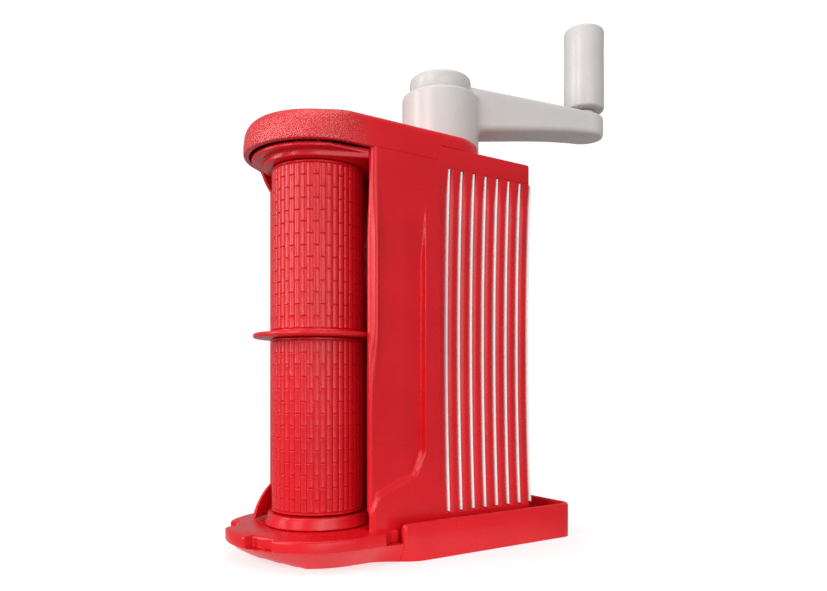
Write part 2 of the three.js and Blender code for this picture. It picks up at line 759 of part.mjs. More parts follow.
// A retaining ring in a groove.
const grooveDepth = 1;
const clipWidth = 2.6;
const clipRing = (radius, z0, x) =>
  ring(radius - grooveDepth + clearance, radius + clipWidth, z0, z0 + 1, x, 0, 14);
const groove = (radius, z0, x) =>
  ring(radius - grooveDepth, radius + 1, z0 - clearance, z0 + 1 + clearance, x, 0, 14);

// ---------------------------------------------------------------- fixed pieces

add('base_tray', baseTray(), red);
add('bottom_cover', bottomCover(), red);
for (const [end, x] of Object.entries(footXs)) {
  for (const side of sides) {
    const name = `rubber_foot_${end}_${side < 0 ? 'near' : 'far'}`;
    add(name, rod(footRadius, 0, footHeight, x, side * footY, 16), rubber);
  }
}
add('roller_seat', rollerSeat(), red);
add('body_housing', bodyHousing(), red);
add('guide_cradle', guideCradle(), red);
add('comb_near', comb(-1), white);
add('comb_far', comb(1), white);
add('gear_plate', gearPlate(), red);
add('top_lid', topLid(), red);

const screwSets = {
  body_screw: bodyScrewPlaces.map(([x, y]) => screw(x, y, clearance, bodyBossTop - 2.5)),
  cover_screw: coverScrewPlaces.map(([x, y]) => screw(x, y, clearance, deckUnderside - 1)),
  seat_screw: seatScrewPlaces.map(([x, y]) =>
    screw(x, y, deckUnderside - clearance - screwHeadHeight, seatTop - 2)),
  plate_screw: plateScrewPlaces.map(([x, y]) =>
    screw(x, y, plateTop + clearance + screwHeadHeight, plateBottom - 5)),
  lid_screw: lidScrewPlaces.map(([x, y]) =>
    screw(x, y, lidHeadFace, x < columnFront ? plateBottom + clearance : plateTop + 1)),
};
for (const [name, screws] of Object.entries(screwSets)) {
  screws.forEach((one, i) => add(`${name}_${i + 1}`, one, steel));
}

add('lower_roller_bush', bush(axleRadius, deckUnderside + clearance, seatTop), acetal);
add('upper_roller_bush', bush(axleRadius, plateBottom, plateTop), acetal);
add('lower_shaft_bush', bush(shaftRadius, plateBottom, plateTop, crankX), acetal);
add('upper_shaft_bush', bush(shaftRadius, gearTop + clearance, hubBottom - clearance, crankX), acetal);

const idlerBossTop = gearTop + gearBossHeight;
const idlerPinTop = idlerBossTop + pinHeadHeight;
add('idler_pin', join(
  rod(gripPinRadius, plateBottom + clearance, idlerPinTop, idlerX, 0, 16),
  rod(gripPinRadius + pinHeadProud, idlerBossTop + clearance, idlerPinTop, idlerX, 0, 16)), steel);

// ---------------------------------------------------------------- gears

const halfTooth = Math.PI / gearTeeth;
const rollerBossTop = gearTop + gearBossHeight;
add('roller_gear', gear(0, 0, rollerBossTop,
  flattedBar(axleRadius + clearance, gearBottom - 1, rollerBossTop + 1)), acetal);
add('idler_gear', gear(halfTooth, idlerX, idlerBossTop,
  rod(gripPinRadius + clearance, gearBottom - 1, idlerBossTop + 1, idlerX)), acetal);

// ---------------------------------------------------------------- roller

const axleClipZ = deckUnderside - 2;
add('roller_axle', cut(flattedBar(axleRadius, axleClipZ - 1.6, rollerBossTop + 0.6),
  groove(axleRadius, axleClipZ, 0)), steel);
add('axle_clip', clipRing(axleRadius, axleClipZ, 0), steel);
add('lower_sleeve', sleeve(rollerBottom, discBottom - clearance), red);
add('divider_disc', cut(rod(discRadius, discBottom, discTop, 0, 0, 40),
  flattedBar(axleRadius + clearance, discBottom - 1, discTop + 1)), red);
add('upper_sleeve', sleeve(discTop + clearance, rollerTop), red);

// ---------------------------------------------------------------- crank, turned to its rest place

const crank = new THREE.Group();
crank.position.set(crankX, 0, 0);
crank.rotation.z = radians(armAngle);
object.add(crank);

function crankArm() {
  const start = hubCapRadius + clearance + 0.4;
  const end = crankRadius + armHalfWidth + 2;
  const side = uprightPlate(shapeOf([
    [0, armBottomAtHub], [hubRadius, armBottomAtHub], [crankRadius - 4, armBottomAtEnd],
    [end, armBottomAtEnd], [end, armEndTop - 0.5], [start, armTop], [start, hubTop], [0, hubTop],
  ]), -armHalfWidth - 1, armHalfWidth + 1);
  const plan = new THREE.Shape();
  plan.moveTo(0, armHalfWidth);
  plan.lineTo(0, -armHalfWidth);
  plan.lineTo(crankRadius, -armHalfWidth);
  plan.absarc(crankRadius, 0, armHalfWidth, -Math.PI / 2, Math.PI / 2, false);
  plan.closePath();
  const arm = meet(side, prism(plan, armBottomAtHub - 1, armTop + 1, 10));
  const collar = rod(gripPinRadius + 2.5, armEndTop - 4, gripBottom - clearance, crankRadius, 0, 16);
  return cut(join(rod(hubRadius, hubBottom, hubTop, 0, 0, 32), arm, collar),
    flattedBar(shaftRadius + clearance, hubBottom - 1, hubTop - 6),
    rod(hubScrewRadius + clearance, hubTop - 7, hubTop + 1, 0, 0, 12),
    rod(gripPinRadius + clearance, gripPinFoot, gripTop, crankRadius, 0, 16));
}

add('crank_arm', crankArm(), white, crank);
add('hub_cap', cut(
  turned([[0, hubTop + clearance], [hubCapRadius, hubTop + clearance],
    [hubCapRadius, hubCapTop - 2], [hubCapRadius - 0.6, hubCapTop - 0.6],
    [hubCapRadius - 2, hubCapTop], [0, hubCapTop]], 28),
  rod(hubCapRadius - lidWall, hubTop, hubCapTop - 2.4, 0, 0, 20)), white, crank);
add('crank_screw', join(
  rod(hubScrewHeadRadius, hubTop + clearance, hubTop + clearance + hubScrewHeadHeight, 0, 0, 6),
  rod(hubScrewRadius, hubTop - hubScrewDepth, hubTop + 1, 0, 0, 12)), steel, crank);

const pinHeadTop = gripTop - gripPinHeadDrop;
const pinHeadFoot = pinHeadTop - pinHeadHeight;
add('grip_pin', join(
  rod(gripPinRadius, gripPinFoot + clearance, pinHeadTop, crankRadius, 0, 14),
  rod(gripPinRadius + pinHeadProud, pinHeadFoot, pinHeadTop, crankRadius, 0, 14)), steel, crank);
add('grip', cut(
  turned([[0, gripBottom], [gripRadius - 0.8, gripBottom], [gripRadius, gripBottom + 0.8],
    [gripRadius, gripTop - 3], [gripRadius - 0.9, gripTop - 0.9], [gripRadius - 3, gripTop],
    [0, gripTop]], 28).translate(crankRadius, 0, 0),
  rod(gripPinRadius + clearance, gripBottom - 1, pinHeadTop, crankRadius, 0, 14),
  rod(gripPinRadius + pinHeadProud + clearance, pinHeadFoot - clearance, pinHeadTop + clearance,
    crankRadius, 0, 14)), white, crank);

const shaftClipZ = plateBottom - 1.4;
const shaftTop = hubTop - 6.5;
add('drive_shaft', cut(flattedBar(shaftRadius, shaftClipZ - 2, shaftTop),
  groove(shaftRadius, shaftClipZ, 0),
  rod(hubScrewRadius + clearance, hubTop - hubScrewDepth - clearance, shaftTop + 1, 0, 0, 12)),
  steel, crank);
add('drive_gear', gear(radians(-armAngle), 0, gearTop,
  flattedBar(shaftRadius + clearance, gearBottom - 1, gearTop + 1)), acetal, crank);
add('shaft_clip', clipRing(shaftRadius, shaftClipZ, 0), steel, crank);

export default object;
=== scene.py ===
import math

import bmesh
import bpy
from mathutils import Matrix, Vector


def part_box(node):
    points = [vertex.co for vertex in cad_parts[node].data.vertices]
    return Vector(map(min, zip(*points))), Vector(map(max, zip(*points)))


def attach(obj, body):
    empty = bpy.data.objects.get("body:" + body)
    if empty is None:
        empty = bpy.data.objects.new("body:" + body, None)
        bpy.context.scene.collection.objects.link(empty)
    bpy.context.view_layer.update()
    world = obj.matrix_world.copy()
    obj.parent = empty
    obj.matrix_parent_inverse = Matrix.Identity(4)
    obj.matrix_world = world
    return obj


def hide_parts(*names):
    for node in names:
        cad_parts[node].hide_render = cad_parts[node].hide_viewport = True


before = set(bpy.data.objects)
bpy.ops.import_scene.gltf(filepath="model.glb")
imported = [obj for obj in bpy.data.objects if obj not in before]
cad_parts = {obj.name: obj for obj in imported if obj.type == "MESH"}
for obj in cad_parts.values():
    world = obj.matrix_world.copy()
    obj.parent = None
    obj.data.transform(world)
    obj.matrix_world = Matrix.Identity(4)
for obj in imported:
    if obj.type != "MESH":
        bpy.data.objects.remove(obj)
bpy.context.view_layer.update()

# ---- Studio: a table top that looks white under a white sky, a tall soft key light from the left,
# a rim light behind it, and softer fill from the front, low down and above. The camera stands low
# at the loading side, level, with its frame shifted, so that uprights stay upright.

MM = 0.001
lens_length = 30.4716           # mm, for a frame 36 mm wide
frame_shift = 0.105804          # upwards, as a share of the frame's width
view_turn = math.radians(-33.3)

camera_data = bpy.data.cameras.new("camera")
camera_data.sensor_width = 36
camera_data.lens = lens_length
camera_data.shift_y = frame_shift
camera = bpy.data.objects.new("camera", camera_data)
camera.location = (-0.134, -0.28046, 0.0739)
camera.rotation_euler = (math.pi / 2, 0, view_turn)
bpy.context.scene.collection.objects.link(camera)
bpy.context.scene.camera = camera
bpy.context.scene.view_settings.view_transform = "Standard"


def linear(hex_colour):
    """An sRGB hex colour as the linear red, green, blue and alpha that a socket takes."""
    channels = [int(hex_colour[i:i + 2], 16) / 255 for i in (1, 3, 5)]
    return (*[c / 12.92 if c <= 0.04045 else ((c + 0.055) / 1.055) ** 2.4 for c in channels], 1)


def add_node(tree, kind, inputs=(), **settings):
    """Adds a node, sets it, and fills its inputs with values or links them from other sockets."""
    node = tree.nodes.new(kind)
    for name, value in settings.items():
        setattr(node, name, value)
    for socket, value in dict(inputs).items():
        if isinstance(value, bpy.types.NodeSocket):
            tree.links.new(value, node.inputs[socket])
        else:
            node.inputs[socket].default_value = value
    return node


def soft_box(name, place, aim, width, height, watts):
    """A rectangular soft light that faces a point on the object."""
    data = bpy.data.lights.new(name, "AREA")
    data.shape = "RECTANGLE"
    data.size = width
    data.size_y = height
    data.energy = watts
    light = bpy.data.objects.new(name, data)
    light.location = place
    light.rotation_euler = (Vector(aim) - Vector(place)).to_track_quat("-Z", "Y").to_euler()
    bpy.context.scene.collection.objects.link(light)


object_middle = (0.04, 0, 0.1)
soft_box("key_soft_box", (-0.95, -0.3, 0.5), object_middle, 0.35, 0.7, 4.6)
soft_box("front_soft_box", (-0.1, -1.1, 0.32), object_middle, 0.8, 0.5, 3.2)
soft_box("rim_soft_box", (-0.95, 0.36, 0.45), object_middle, 0.35, 0.7, 4.8)
soft_box("low_soft_box", (-0.45, -0.95, 0.12), object_middle, 0.5, 0.4, 1.3)
soft_box("top_soft_box", (-0.1, -0.1, 1.1), object_middle, 0.8, 0.8, 3.6)

# The sky is white to look at, and lights the object more gently than it looks.
sky = bpy.data.worlds.new("white_sky")
sky.use_nodes = True
sky_tree = sky.node_tree
sky_seen = add_node(sky_tree, "ShaderNodeBackground",
                    {"Color": linear("#ffffff"), "Strength": 1.05})
sky_light = sky_tree.nodes["Background"]
sky_light.inputs["Color"].default_value = linear("#ffffff")
sky_light.inputs["Strength"].default_value = 0.36
sky_choice = add_node(sky_tree, "ShaderNodeMixShader", {
    "Fac": add_node(sky_tree, "ShaderNodeLightPath").outputs["Is Camera Ray"],
    1: sky_light.outputs["Background"], 2: sky_seen.outputs["Background"]})
sky_tree.links.new(sky_choice.outputs["Shader"], sky_tree.nodes["World Output"].inputs["Surface"])
bpy.context.scene.world = sky

# The table's paint is grey with a glow of its own, so that it looks white but throws less light
# up at the object. It fades into the sky away from the object, so it has no horizon.
table_half = 1.2
table_middle = (0.04, 0, 0)
table_fade = (0.06, 0.13)
table_mesh = bpy.data.meshes.new("table_top")
table_mesh.from_pydata(
    [(x, y, 0) for x, y in ((-table_half, -table_half), (table_half, -table_half),
                            (table_half, table_half), (-table_half, table_half))],
    [], [(0, 1, 2, 3)])
table_top = bpy.data.objects.new("table_top", table_mesh)
bpy.context.scene.collection.objects.link(table_top)
table_paint = bpy.data.materials.new("matt grey paint, lit")
table_paint.use_nodes = True
table_tree = table_paint.node_tree
table_shader = table_tree.nodes["Principled BSDF"]
table_shader.inputs["Base Color"].default_value = linear("#a8a8a8")
table_shader.inputs["Roughness"].default_value = 0.9
table_shader.inputs["Specular IOR Level"].default_value = 0
table_shader.inputs["Emission Color"].default_value = linear("#ffffff")
table_shader.inputs["Emission Strength"].default_value = 0.66
table_place = add_node(table_tree, "ShaderNodeTexCoord").outputs["Object"]
from_object = add_node(table_tree, "ShaderNodeVectorMath",
                       {0: table_place, 1: table_middle}, operation="DISTANCE")
table_edge = add_node(table_tree, "ShaderNodeMapRange",
                      {"Value": from_object.outputs["Value"], "From Min": table_fade[0],
                       "From Max": table_fade[1], "To Min": 1, "To Max": 0},
                      interpolation_type="SMOOTHSTEP")
table_tree.links.new(table_edge.outputs["Result"], table_shader.inputs["Alpha"])
table_mesh.materials.append(table_paint)

# ---- Base tray: one red ABS moulding, glossy from a polished tool. A round deck with an upright
# lip stands in front under the roller, and a rimmed drip tray lies behind, under the column.


def per_mm(size):
    """The scale that gives a texture cells of this many millimetres."""
    return 1 / (size * MM)


def moulded_plastic(name, colours, gloss, peel, grain=None, shine=0.36):
    """ABS from a mould: colours run from deep to light in slow flow clouds, gloss is the
    roughness range between clean and handled skin, peel the (size, depth) in mm of its slight
    orange peel, and grain the (size, depth, start, end) of a spark-eroded texture, which fades
    out from start to end along X."""
    material = bpy.data.materials.new(name)
    material.use_nodes = True
    tree = material.node_tree
    shader = tree.nodes["Principled BSDF"]
    shader.inputs["IOR"].default_value = 1.5
    shader.inputs["Specular IOR Level"].default_value = shine
    place = add_node(tree, "ShaderNodeTexCoord").outputs["Object"]
    clouds = add_node(tree, "ShaderNodeTexNoise",
                      {"Vector": place, "Scale": per_mm(35), "Detail": 3})
    tint = add_node(tree, "ShaderNodeValToRGB", {"Fac": clouds.outputs["Fac"]})
    tint.color_ramp.elements[0].position = 0.3
    tint.color_ramp.elements[0].color = linear(colours[0])
    tint.color_ramp.elements[1].position = 0.7
    tint.color_ramp.elements[1].color = linear(colours[1])
    tree.links.new(tint.outputs["Color"], shader.inputs["Base Color"])
    smears = add_node(tree, "ShaderNodeTexNoise",
                      {"Vector": place, "Scale": per_mm(9), "Detail": 4, "Roughness": 0.6})
    sheen = add_node(tree, "ShaderNodeMapRange",
                     {"Value": smears.outputs["Fac"], "From Min": 0.35, "From Max": 0.7,
                      "To Min": gloss[0], "To Max": gloss[1]})
    tree.links.new(sheen.outputs["Result"], shader.inputs["Roughness"])
    skin = add_node(tree, "ShaderNodeTexNoise",
                    {"Vector": place, "Scale": per_mm(peel[0]), "Detail": 2})
    bump = add_node(tree, "ShaderNodeBump",
                    {"Height": skin.outputs["Fac"], "Distance": peel[1] * MM, "Strength": 1})
    if grain:
        across = add_node(tree, "ShaderNodeSeparateXYZ", {"Vector": place}).outputs["X"]
        band = add_node(tree, "ShaderNodeMapRange", {
            "Value": across, "From Min": grain[2] * MM, "From Max": grain[3] * MM,
            "To Min": 1, "To Max": 0}, interpolation_type="SMOOTHSTEP").outputs["Result"]
        lustre = add_node(tree, "ShaderNodeMapRange",
                          {"Value": band, "To Min": shine, "To Max": 0.8})
        tree.links.new(lustre.outputs["Result"], shader.inputs["Specular IOR Level"])
        pits = add_node(tree, "ShaderNodeTexVoronoi",
                        {"Vector": place, "Scale": per_mm(grain[0])}, feature="SMOOTH_F1")
        bump = add_node(tree, "ShaderNodeBump",
                        {"Height": pits.outputs["Distance"], "Distance": grain[1] * MM,
                         "Strength": band, "Normal": bump.outputs["Normal"]})
    tree.links.new(bump.outputs["Normal"], shader.inputs["Normal"])
    return material


# The skin of polished-tool ABS: clear gloss over a saturated pigment, with a faint orange peel,
# drawn coarse enough to show.
gloss_red_abs = moulded_plastic("moulded red ABS, polished tool", ("#d1111d", "#df1623"),
                                gloss=(0.24, 0.32), peel=(2.2, 0.008))


def link_piece(name, mesh, material, body, nodes=()):
    """Puts a finished mesh in the scene, on its body, in place of the CAD nodes it details."""
    mesh.materials.clear()
    mesh.materials.append(material)
    piece = bpy.data.objects.new(name, mesh)
    bpy.context.scene.collection.objects.link(piece)
    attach(piece, body)
    if nodes:
        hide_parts(*nodes)
    return piece


def round_edges(piece, radius, angle=32):
    """Rounds the sharp edges, as the tool's own radii do."""
    rounding = piece.modifiers.new("rounded edges", "BEVEL")
    rounding.width = radius * MM
    rounding.segments = 3
    rounding.limit_method = "ANGLE"
    rounding.angle_limit = math.radians(angle)
    rounding.harden_normals = True
    rounding.use_clamp_overlap = False


def moulded_copy(node, name, material, body, edge):
    """A piece with a CAD node's form: welded, its flats made whole and its edges rounded."""
    form = bmesh.new()
    form.from_mesh(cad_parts[node].data)
    bmesh.ops.remove_doubles(form, verts=form.verts, dist=0.001 * MM)
    bmesh.ops.dissolve_limit(form, angle_limit=math.radians(1), verts=form.verts,
                             edges=form.edges)
    mesh = bpy.data.meshes.new(name)
    form.to_mesh(mesh)
    form.free()
    mesh.polygons.foreach_set("use_smooth", [True] * len(mesh.polygons))
    piece = link_piece(name, mesh, material, body, [node])
    round_edges(piece, edge)
    return piece


def smooth_step(value, start, end):
    """Rises from 0 at start to 1 at end, level at both."""
    t = min(1, max(0, (value - start) / (end - start)))
    return t * t * (3 - 2 * t)


def new_mesh(name, points, faces, sharp=35):
    """A smooth-shaded mesh from points in mm, with creases where faces turn sharply."""
    form = bmesh.new()
    corners = [form.verts.new([MM * value for value in point]) for point in points]
    for face in faces:
        form.faces.new([corners[i] for i in face])
    bmesh.ops.recalc_face_normals(form, faces=form.faces)
    mesh = bpy.data.meshes.new(name)
    form.to_mesh(mesh)
    form.free()
    mesh.polygons.foreach_set("use_smooth", [True] * len(mesh.polygons))
    mesh.set_sharp_from_angle(angle=math.radians(sharp))
    return mesh


def spread(start, end, step):
    """Even places from start to end, no further apart than step."""
    count = max(1, math.ceil((end - start) / step))
    return [start + (end - start) * i / count for i in range(count + 1)]


def join_parts(*parts):
    """Points and faces of several closed forms, as one list of each."""
    points, faces = [], []
    for part_points, part_faces in parts:
        faces += [[i + len(points) for i in face] for face in part_faces]
        points += part_points
    return points, faces


def loft(rings):
    """Points and faces of a solid skinned over closed rings, flat at its first and last one."""
    count = len(rings[0])
    points = [point for ring in rings for point in ring]
    faces = [[r * count + i, r * count + (i + 1) % count,
              (r + 1) * count + (i + 1) % count, (r + 1) * count + i]
             for r in range(len(rings) - 1) for i in range(count)]
    last = (len(rings) - 1) * count
    faces += [list(reversed(range(count))), [last + i for i in range(count)]]
    return points, faces


def circle(radius, z, sides=96, x=0, y=0):
    """A level ring of points."""
    return [(x + radius * math.cos(2 * math.pi * i / sides),
             y + radius * math.sin(2 * math.pi * i / sides), z) for i in range(sides)]


def lathe(profile, sides=96, x=0, y=0):
    """Points and faces of a solid turned about an upright axis."""
    return loft([circle(max(radius, 0.01), z, sides, x, y) for radius, z in profile])


def box_form(x0, x1, y0, y1, z0, z1):
    """Points and faces of a block."""
    return loft([[(x0, y0, z), (x1, y0, z), (x1, y1, z), (x0, y1, z)] for z in (z0, z1)])


def result_of(mesh, kind, inputs=(), **settings):
    """The plain mesh that a modifier makes of a mesh. A node tree's inputs go by identifier."""
    maker = bpy.data.objects.new("maker", mesh)
    bpy.context.scene.collection.objects.link(maker)
    change = maker.modifiers.new("change", kind)
    for name, value in settings.items():
        setattr(change, name, value)
    for identifier, value in dict(inputs).items():
        change[identifier] = value
    bpy.context.view_layer.update()
    evaluated = maker.evaluated_get(bpy.context.evaluated_depsgraph_get())
    result = bpy.data.meshes.new_from_object(evaluated)
    bpy.data.objects.remove(maker)
    return result


def carved(mesh, *cutters):
    """A mesh with closed forms cut out of it."""
    tool = bpy.data.objects.new("tool", new_mesh("tool", *join_parts(*cutters)))
    bpy.context.scene.collection.objects.link(tool)
    result = result_of(mesh, "BOOLEAN", operation="DIFFERENCE", solver="EXACT", object=tool)
    bpy.data.objects.remove(tool)
    result.set_sharp_from_angle(angle=math.radians(32))
    return result


def merged(name, *meshes):
    """Several meshes as one."""
    form = bmesh.new()
    for mesh in meshes:
        form.from_mesh(mesh)
    whole = bpy.data.meshes.new(name)
    form.to_mesh(whole)
    form.free()
    return whole


def in_mm(box):
    """A box's low and high corners in mm."""
    return tuple(corner / MM for corner in box)


fit_gap = 0.3
tray_high = in_mm(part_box("base_tray"))[1]
seat_low = in_mm(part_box("roller_seat"))[0]
cover_high = in_mm(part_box("bottom_cover"))[1]
base_half = tray_high.y
deck_top = seat_low.z - fit_gap
deck_skin = 2.6
lip_bottom = deck_top - 5
tray_front = 20
tray_floor = 3
tray_wall = 2.4
rear_corner = 6
rim_edge = 1.4
notch_turns = (153, 207)
bow_start = -17
bow_slope = 0.27


def hull_inset(x, z):
    """How far the hull draws in under the lip; it fades out where the hull joins the tray."""
    return (1 + 8.5 * (1 - min(1, z / lip_bottom))) * (1 - smooth_step(x, 8, 30))


def lip_inset(x, turn):
    """How far the lip stands back at its two notches, and where it curls in at its ends."""
    off_notch = min(abs(turn - notch) for notch in notch_turns)
    notch_depth = 4 * (1 - smooth_step(off_notch, 8.6, 10.6))
    return notch_depth + 5 * smooth_step(x, 10, 17)


def deck_ring(z, in_lip, extra=0):
    """A level of the round front: every edge point is drawn in by the hull's or lip's inset."""
    round_front = [(0, 0, turn) for turn in spread(90, 270, 1.2)]
    near = [(x, 0, 270) for x in spread(0.6, tray_front, 0.6)]
    far = [(x, 0, 90) for x, _, _ in reversed(near)]
    ring = []
    for x, _, turn in round_front + near + far:
        ux, uy = math.cos(math.radians(turn)), math.sin(math.radians(turn))
        edge_x = x + base_half * ux if x == 0 else x
        inset = (lip_inset(edge_x, turn) if in_lip else hull_inset(edge_x, z)) + extra
        reach = base_half - inset
        px, py = x + reach * (ux if x == 0 else 0), reach * uy
        bow = bow_slope * (bow_start - px)
        ring.append((px, py, max(z, bow)))
    return ring


deck_levels = [deck_ring(z, False) for z in (0, 1, 2.5, 4, 5.5, 7, lip_bottom - 0.3)]
deck_levels += [deck_ring(lip_bottom, False, 0.1), deck_ring(lip_bottom, True, 0.3),
                deck_ring(lip_bottom + 0.25, True), deck_ring(deck_top - 1.2, True),
                deck_ring(deck_top - 0.6, True, 0.16), deck_ring(deck_top - 0.16, True, 0.6),
                deck_ring(deck_top, True, 1.2)]
deck_blank = new_mesh("deck", *loft(deck_levels), sharp=28)
cavity_radius = cover_high.y + fit_gap
deck = carved(deck_blank, lathe([(cavity_radius, -1), (cavity_radius, deck_top - deck_skin)], 64))


def tray_rim():
    """The tray's upstanding wall, swept from its near front end round the rear to its far one."""
    half, rear = base_half, tray_high.x
    near_xs = [tray_front + d for d in (0, 0.1, 0.35, 0.8, rim_edge)]
    near_xs += spread(22, rear - rear_corner, 1.5)
    path = [(x, -half, -90, x - tray_front) for x in near_xs]
    path += [(rear - rear_corner, -half + rear_corner, turn, 99) for turn in spread(-90, 0, 7.5)]
    path += [(x, -y, -turn, end) for x, y, turn, end in reversed(path)]
    rings = []
    for x, y, turn, end in path:
        ux, uy = math.cos(math.radians(turn)), math.sin(math.radians(turn))
        if abs(y) < half:
            x, y = x + rear_corner * ux, y + rear_corner * uy
        short = max(0, rim_edge - end)
        away = rim_edge - math.sqrt(max(0, rim_edge ** 2 - short ** 2))
        top = tray_high.z - away
        section = [(hull_inset(x, z) + away * 0.8, z) for z in (0, 1.5, 3, 5, 7, 8)]
        section += [(away * 0.8, 9), (away * 0.8, top - 1.1), (0.3 + away * 0.8, top - 0.4),
                    (1.0, top), (1.5, top), (tray_wall - 0.25, top - 0.4),
                    (tray_wall, top - 1.1), (tray_wall, tray_floor + 1.2),
                    (tray_wall + 0.4, tray_floor + 0.35), (tray_wall + 1.3, tray_floor - 0.1),
                    (max(tray_wall + 1.3, hull_inset(x, 0) + 1.6), 0.3)]
        rings.append([(x - inset * ux, y - inset * uy, z) for inset, z in section])
    return loft(rings)


floor_plan = [(tray_front - 1, base_half - 6.2), (30, base_half - 3),
              (tray_high.x - 3, base_half - 3)]
floor_plan += [(x, -y) for x, y in reversed(floor_plan)]
floor_block = loft([[(x, y, z) for x, y in floor_plan] for z in (0.02, tray_floor)])
foot_boxes = [in_mm(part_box(name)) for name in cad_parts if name.startswith("rubber_foot")]
head_boxes = [in_mm(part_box("body_screw_%d" % k)) for k in (1, 2, 3, 4)]


def socket_for(low, high, top):
    """A round cut from below, a little wider than the foot or screw head that goes in."""
    radius = (high.x - low.x) / 2 + fit_gap
    middle = (low + high) / 2
    return lathe([(radius, -1), (radius, top)], 32, middle.x, middle.y)


floor_cuts = [socket_for(low, high, high.z + fit_gap) for low, high in foot_boxes]
floor_cuts += [socket_for(low, high, 2) for low, high in head_boxes]
tray_floor_mesh = carved(new_mesh("floor", *floor_block), *floor_cuts)
rim = new_mesh("rim", *tray_rim(), sharp=40)
link_piece("base_tray_moulding", merged("base_tray_moulding", deck, rim, tray_floor_mesh),
           gloss_red_abs, "housing", ["base_tray"])

# The underside's cover comes from a blasted tool, which leaves it dull, with a fine even grit that
# is drawn coarser than it is, so that it shows.
matt_red_abs = moulded_plastic("moulded red ABS, blasted tool", ("#b5121c", "#c31823"),
                               gloss=(0.5, 0.62), peel=(0.9, 0.03))
moulded_copy("bottom_cover", "bottom_cover_moulding", matt_red_abs, "housing", 0.4)


def refinish(material, *nodes):
    """Gives CAD nodes whose form is right a material of their own."""
    for node in nodes:
        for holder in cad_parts[node].material_slots:
            holder.material = material


# The feet are pressed in. Moulded rubber is nearly black, without gloss and faintly rough.
foot_rubber = moulded_plastic("moulded black rubber", ("#1d1d1f", "#2b2b2d"),
                              gloss=(0.72, 0.9), peel=(0.7, 0.04))
refinish(foot_rubber, *[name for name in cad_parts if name.startswith("rubber_foot")])

# ---- Roller seat: a low cone moulded in the same red ABS, round the roller's lower bush.
# It is held on the deck by three screws from below.

moulded_copy("roller_seat", "roller_seat_cone", gloss_red_abs, "housing", 0.5)

# ---- Body: one red ABS moulding. The near side wall is scooped behind a rounded front bead, the
# column's two sides are slotted and bow inwards, and a plain cap band closes it above.

body_low, body_high = in_mm(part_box("body_housing"))
lid_low, lid_high = in_mm(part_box("top_lid"))
comb_low, comb_high = in_mm(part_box("comb_near"))
cap_overhang = 0.5
cap_rear_overhang = 0.3
cap_height = 9
body_half = -body_low.y - cap_overhang
column_rear = body_high.x - cap_rear_overhang
column_length = 51.35
column_front = column_rear - column_length
cap_top = body_high.z
cap_bottom = cap_top - cap_height
wall_front = body_low.x
far_front = 17
tray_start = tray_front + fit_gap
body_foot = tray_floor + fit_gap
skin_wall = 2.6
column_wall = 5
slot_bottom = comb_low.z - fit_gap
slot_top = comb_high.z + fit_gap
fin_pitch = 6.85
fin_count = 8
slot_width = 1.8
first_fin_setback = 4.7
first_fin = column_front + first_fin_setback
side_bow = 2
rib_edge = 2.4
rib_round = 0.75


def thick_grid(us, vs, outer, inner, is_open=lambda u, v: False):
    """Points and faces of a closed skin between two surfaces over the same grid, with a hole at
    each open cell."""
    points = [face(u, v) for face in (outer, inner) for u in us for v in vs]
    rows = len(vs)
    layer = len(us) * rows
    solid_cells = {(i, j) for i in range(len(us) - 1) for j in range(rows - 1)
                   if not is_open((us[i] + us[i + 1]) / 2, (vs[j] + vs[j + 1]) / 2)}
    faces = []
    for i, j in solid_cells:
        a, b, c, d = i * rows + j, (i + 1) * rows + j, (i + 1) * rows + j + 1, i * rows + j + 1
        faces += [(a, b, c, d), (layer + d, layer + c, layer + b, layer + a)]
        sides = [((i, j - 1), a, b), ((i + 1, j), b, c), ((i, j + 1), c, d), ((i - 1, j), d, a)]
        faces += [(q, p, layer + p, layer + q) for cell, p, q in sides if cell not in solid_cells]
    used = sorted({corner for face in faces for corner in face})
    renumber = {old: new for new, old in enumerate(used)}
    return [points[i] for i in used], [[renumber[i] for i in face] for face in faces]


crease_x = column_front - 8.6
recess_bottom = deck_top + 5
recess_top = cap_bottom - 10.5
front_depth = 1.6
crease_depth = 2.7
bead_height = 1.7
bead_start, bead_full = 70, 100


def recess_depth(x, z):
    """How far the near wall is scooped in, between a crisp S-shaped foot and a wide soft brow."""
    foot = recess_bottom + 8 * smooth_step(x, wall_front - 1, wall_front + 4)
    foot += 0.42 * max(0, x - wall_front - 3) + 7 * smooth_step(x, crease_x - 5, crease_x + 1)
    brow = recess_top - 0.3 * max(0, x - wall_front)
    fade = smooth_step(z, foot, foot + 3) * (1 - smooth_step(z, brow - 26, brow))
    fade *= 1 - smooth_step(x, crease_x - 0.2, crease_x + 0.7)
    deepening = smooth_step(x, crease_x - 10, crease_x - 1)
    depth = front_depth + (crease_depth - front_depth) * deepening
    bead = bead_height * math.exp(-((x - wall_front - 2.6) / 1.4) ** 2)
    bead *= smooth_step(z, bead_start, bead_full)
    return max(0, depth - bead) * fade


def bow_depth(x, z):
    """How far the slotted side bows in, as a shallow arch between foot and cap."""
    t = min(1, max(0, (z - slot_bottom) / (cap_bottom - slot_bottom)))
    return 4 * side_bow * t * (1 - t) * smooth_step(x, first_fin - 5.6, first_fin - 4.4)


def edge_radius(z):
    """The rounding of the wall's front edge: less beside the lower part of the scoop."""
    above = smooth_step(z, bead_start, bead_full)
    below = 1 - smooth_step(z, recess_bottom, recess_bottom + 8)
    return 0.9 + 1.5 * max(above, below)


def front_rounding(x, front, radius):
    """How far the wall's front edge falls away."""
    short = max(0, front + radius - x)
    return radius - math.sqrt(max(0, radius ** 2 - short ** 2))


